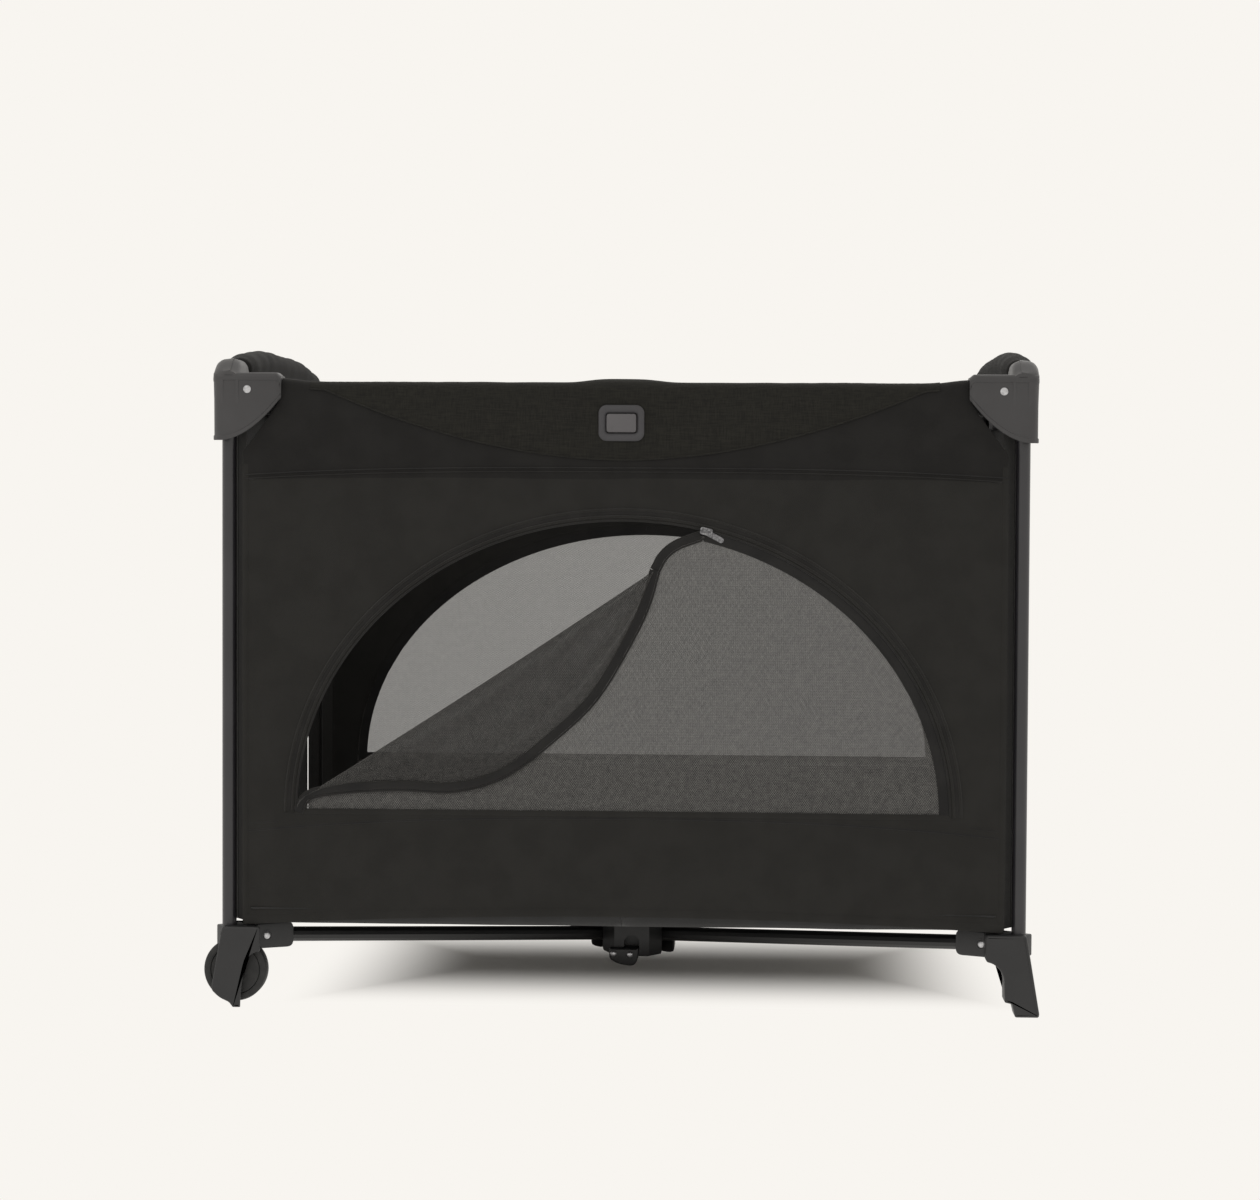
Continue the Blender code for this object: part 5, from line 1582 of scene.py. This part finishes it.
for side, sign, corner in rail_halves(("left", "right")):
    body, edge = "end_rail_" + corner, WALLS[side]["edge"]
    loops = [cover_loop(side, END_COVER_END * i / 40, sign) for i in range(41)]
    count = len(loops[0])
    faces = grid_faces(41, count, wrap=True) + [tuple(range(40 * count, 41 * count))]
    points = [point for loop in loops for point in loop]
    cover = piece("end_cover_" + corner, points, faces, cover_cloth, body)
    smooth = cover.modifiers.new("smooth", "SUBSURF")
    smooth.levels = smooth.render_levels = 1
    draw_up(cover)
    points = []
    for c in range(9):
        v = END_COVER_END - 0.001 + (edge - END_COVER_END + 0.001) * c / 8
        high = 0.730 - 0.028 * c / 8
        points += [on_wall(side, sign * v, END_SKIN + 0.0008 + 0.0022 * r / 10,
                           SLEEVE_LOW + (high - SLEEVE_LOW) * r / 10) for r in range(11)]
    draw_up(piece("end_gusset_" + corner, points, grid_faces(9, 11), cover_cloth, body))
    for index, z in enumerate((SLEEVE_LOW + 0.0015, SLEEVE_LOW + 0.0075)):
        path = [on_wall(side, sign * edge * c / 30, END_SKIN + 0.0014, z) for c in range(31)]
        draw_up(tube(f"end_seam_{index}_{corner}", path, 0.0008, piping_cloth, body, 6))

# %% [markdown]
# ## Cloth floor
# A dark sheet closes the bottom a finger above the bars. It is made as four quarters round the hub's
# pull, each carried by its own bottom bar.
# %% Floor quarters
FLOOR_Z = 0.1055
floors = []
for corner, (sx, sy) in CORNERS.items():
    end_x, end_y = END_SKIN + 0.003, LONG_SKIN + 0.003
    inside = 0.0285
    points = []
    rows, columns = 24, 26
    for r in range(rows + 1):
        angle = math.pi / 2 * r / rows
        along, across = math.cos(angle), math.sin(angle)
        far = min(end_x / max(along, 1e-6), end_y / max(across, 1e-6))
        for c in range(columns + 1):
            reach = inside + (far - inside) * (1 - (1 - c / columns) ** 1.6)
            u, v = reach * along, reach * across
            if u > POST_X - 0.016 and v > POST_Y - 0.028:
                over_u, over_v = u - (POST_X - 0.016), v - (POST_Y - 0.028)
                back = min(over_u / max(along, 1e-6), over_v / max(across, 1e-6))
                u, v = u - back * along, v - back * across
            sag = 0.0009 * noise.noise(Vector((u * 9 * sx, v * 9 * sy, 5)))
            sag += 0.020 * ease(max(u - end_x, v - end_y), -0.016, 0.0)
            points.append((MID + sx * max(u, 0.0002), sy * max(v, 0.0002), FLOOR_Z + sag))
    faces = grid_faces(rows + 1, columns + 1)
    floor = piece("floor_cloth_" + corner, points, faces, floor_cloth, "bar_" + corner)
    thicken(floor, 0.0014, rim=True)
    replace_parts(floor, "floor_" + corner)
    diagonal = Vector((sx * POST_X, sy * POST_Y, 0)).normalized()
    across = (-diagonal.y, diagonal.x, 0)
    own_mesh(floor)
    floors.append(floor)
print("floor in", len(floors), "quarters")

# %% [markdown]
# ## Mattress
# A thin board in a padded cover lies on the floor sheet. The padding is simulated: the slab's cloth is
# blown up a little against its own seams for a short while, and the result is kept. Then the quilting
# channels are pressed in and the edge gets its piping.
# %% Mattress
pad_low, pad_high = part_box("mattress")
PAD_X, PAD_Y = (pad_high.x - pad_low.x) / 2, (pad_high.y - pad_low.y) / 2
PAD_BOTTOM, PAD_TOP = pad_low.z, pad_high.z


def pad_loop(inset, z, steps=8):
    """A loop round the pad with round corners."""
    outline = rounded_rectangle(PAD_X - inset, PAD_Y - inset, 0.030, steps)
    return [Vector((MID + x, y, z)) for x, y in outline]


pad_rings = [(0.0060, PAD_BOTTOM + 0.0006), (0.0020, PAD_BOTTOM + 0.0030), (0.0010, PAD_BOTTOM + 0.0080),
             (0.0010, PAD_TOP - 0.0100), (0.0022, PAD_TOP - 0.0055), (0.0070, PAD_TOP - 0.0032)]
pad = stack("mattress_pad", [pad_loop(inset, z) for inset, z in pad_rings], pad_cloth, "mattress")


def keep_result(obj):
    """Applies what the modifiers have made of a mesh."""
    bpy.context.view_layer.update()
    result = bpy.data.meshes.new_from_object(obj.evaluated_get(bpy.context.evaluated_depsgraph_get()))
    obj.modifiers.clear()
    obj.data = result


def blow_up(obj, voxel, pressure, frames, most):
    """Fills a closed slab with air for a few frames of cloth simulation, and limits how far it moves."""
    remesh = obj.modifiers.new("even", "REMESH")
    remesh.mode = "VOXEL"
    remesh.voxel_size = voxel
    keep_result(obj)
    start = np.array([v.co[:] for v in obj.data.vertices])
    cloth = obj.modifiers.new("cloth", "CLOTH")
    cloth.settings.quality = 5
    cloth.settings.mass = 0.3
    cloth.settings.tension_stiffness = 12
    cloth.settings.compression_stiffness = 12
    cloth.settings.bending_stiffness = 0.6
    cloth.settings.use_pressure = True
    cloth.settings.uniform_pressure_force = pressure
    cloth.settings.effector_weights.gravity = 0
    cloth.collision_settings.use_collision = False
    scene = bpy.context.scene
    cloth.point_cache.frame_start = 1
    cloth.point_cache.frame_end = frames
    for number in range(1, frames + 1):
        scene.frame_set(number)
    keep_result(obj)
    scene.frame_set(1)
    end = np.array([v.co[:] for v in obj.data.vertices])
    move = end - start
    size = np.linalg.norm(move, axis=1)
    share = np.minimum(1.0, most / np.maximum(size, 1e-9))
    for vertex, place in zip(obj.data.vertices, start + move * share[:, None]):
        vertex.co = place
    print("pad blown up by up to", round(float(size.max()), 4), "m, kept to", most)


blow_up(pad, 0.009, 4.0, 20, 0.004)


def quilt_depth(x, y):
    """Channels across the mattress: three folds of the board and a border."""
    depth = 0.0
    for line in (-PAD_X / 2, 0.0, PAD_X / 2):
        depth += 0.0030 * math.exp(-((x - MID - line) / 0.007) ** 2)
    border = min(PAD_X - abs(x - MID), PAD_Y - abs(y))
    return depth + 0.0018 * math.exp(-((border - 0.032) / 0.005) ** 2)


for vertex in pad.data.vertices:
    x, y, z = vertex.co
    if z > (PAD_BOTTOM + PAD_TOP) / 2:
        crown = 0.0012 * noise.noise(Vector((x * 10, y * 10, 1)))
        vertex.co.z = min(PAD_TOP + 0.001, z - quilt_depth(x, y) + crown)
    vertex.co.z = max(PAD_BOTTOM + 0.0002, vertex.co.z)
    vertex.co.x = MID + max(-PAD_X, min(PAD_X, vertex.co.x - MID))
    vertex.co.y = max(-PAD_Y, min(PAD_Y, vertex.co.y))
pad.data.shade_smooth()
finer = pad.modifiers.new("finer", "SUBSURF")
finer.levels = finer.render_levels = 1
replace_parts(pad, "mattress")
edge_path = pad_loop(0.0006, PAD_TOP - 0.0045, 10)
ahead = [edge_path[(i + 1) % len(edge_path)] - edge_path[i - 1] for i in range(len(edge_path))]
sides = [Vector((a.y, -a.x, 0)).normalized() for a in ahead]
pad_piping = sweep("mattress_piping", edge_path, sides, [(0, 0, 1)] * len(edge_path), circle(0.0013, 8),
                   binding_cloth, "mattress", closed=True)
print("mattress", round(2 * PAD_X, 3), "by", round(2 * PAD_Y, 3), "with", len(pad.data.polygons), "faces")

# %% [markdown]
# ## What is cloth
# The width, height and area of the corner strips, lens panels and gussets are worked out from their
# own meshes, and nothing more is done with them.
# %% Flat sizes of the sheets
def panel_size(obj):
    """Width, height and area of a panel that hangs nearly upright, from its own mesh."""
    xs, ys, zs = zip(*[vertex.co for vertex in obj.data.vertices])
    wide = math.hypot(max(xs) - min(xs), max(ys) - min(ys))
    high = max(zs) - min(zs)
    area = sum(face.area for face in obj.data.polygons)
    return round(wide + 0.001, 3), round(high + 0.001, 3), round(min(area, wide * high), 4)


for obj, (side, sign, corner) in zip(halves, rail_halves(WALLS)):
    wall = WALLS[side]
    high = SEAM_MIDDLE - HEM_MIDDLE + 0.004
for obj in sleeves:
    corner = obj.name.replace("sleeve_", "")
for obj in floors:
    corner = obj.name.replace("floor_cloth_", "")
for corner in CORNERS:
    for start in ("corner_strip_", "lens_panel_", "gusset_", "end_gusset_"):
        for obj in bpy.data.objects:
            if obj.name.startswith(start) and obj.name.endswith(corner):
                wide, high, area = panel_size(obj)
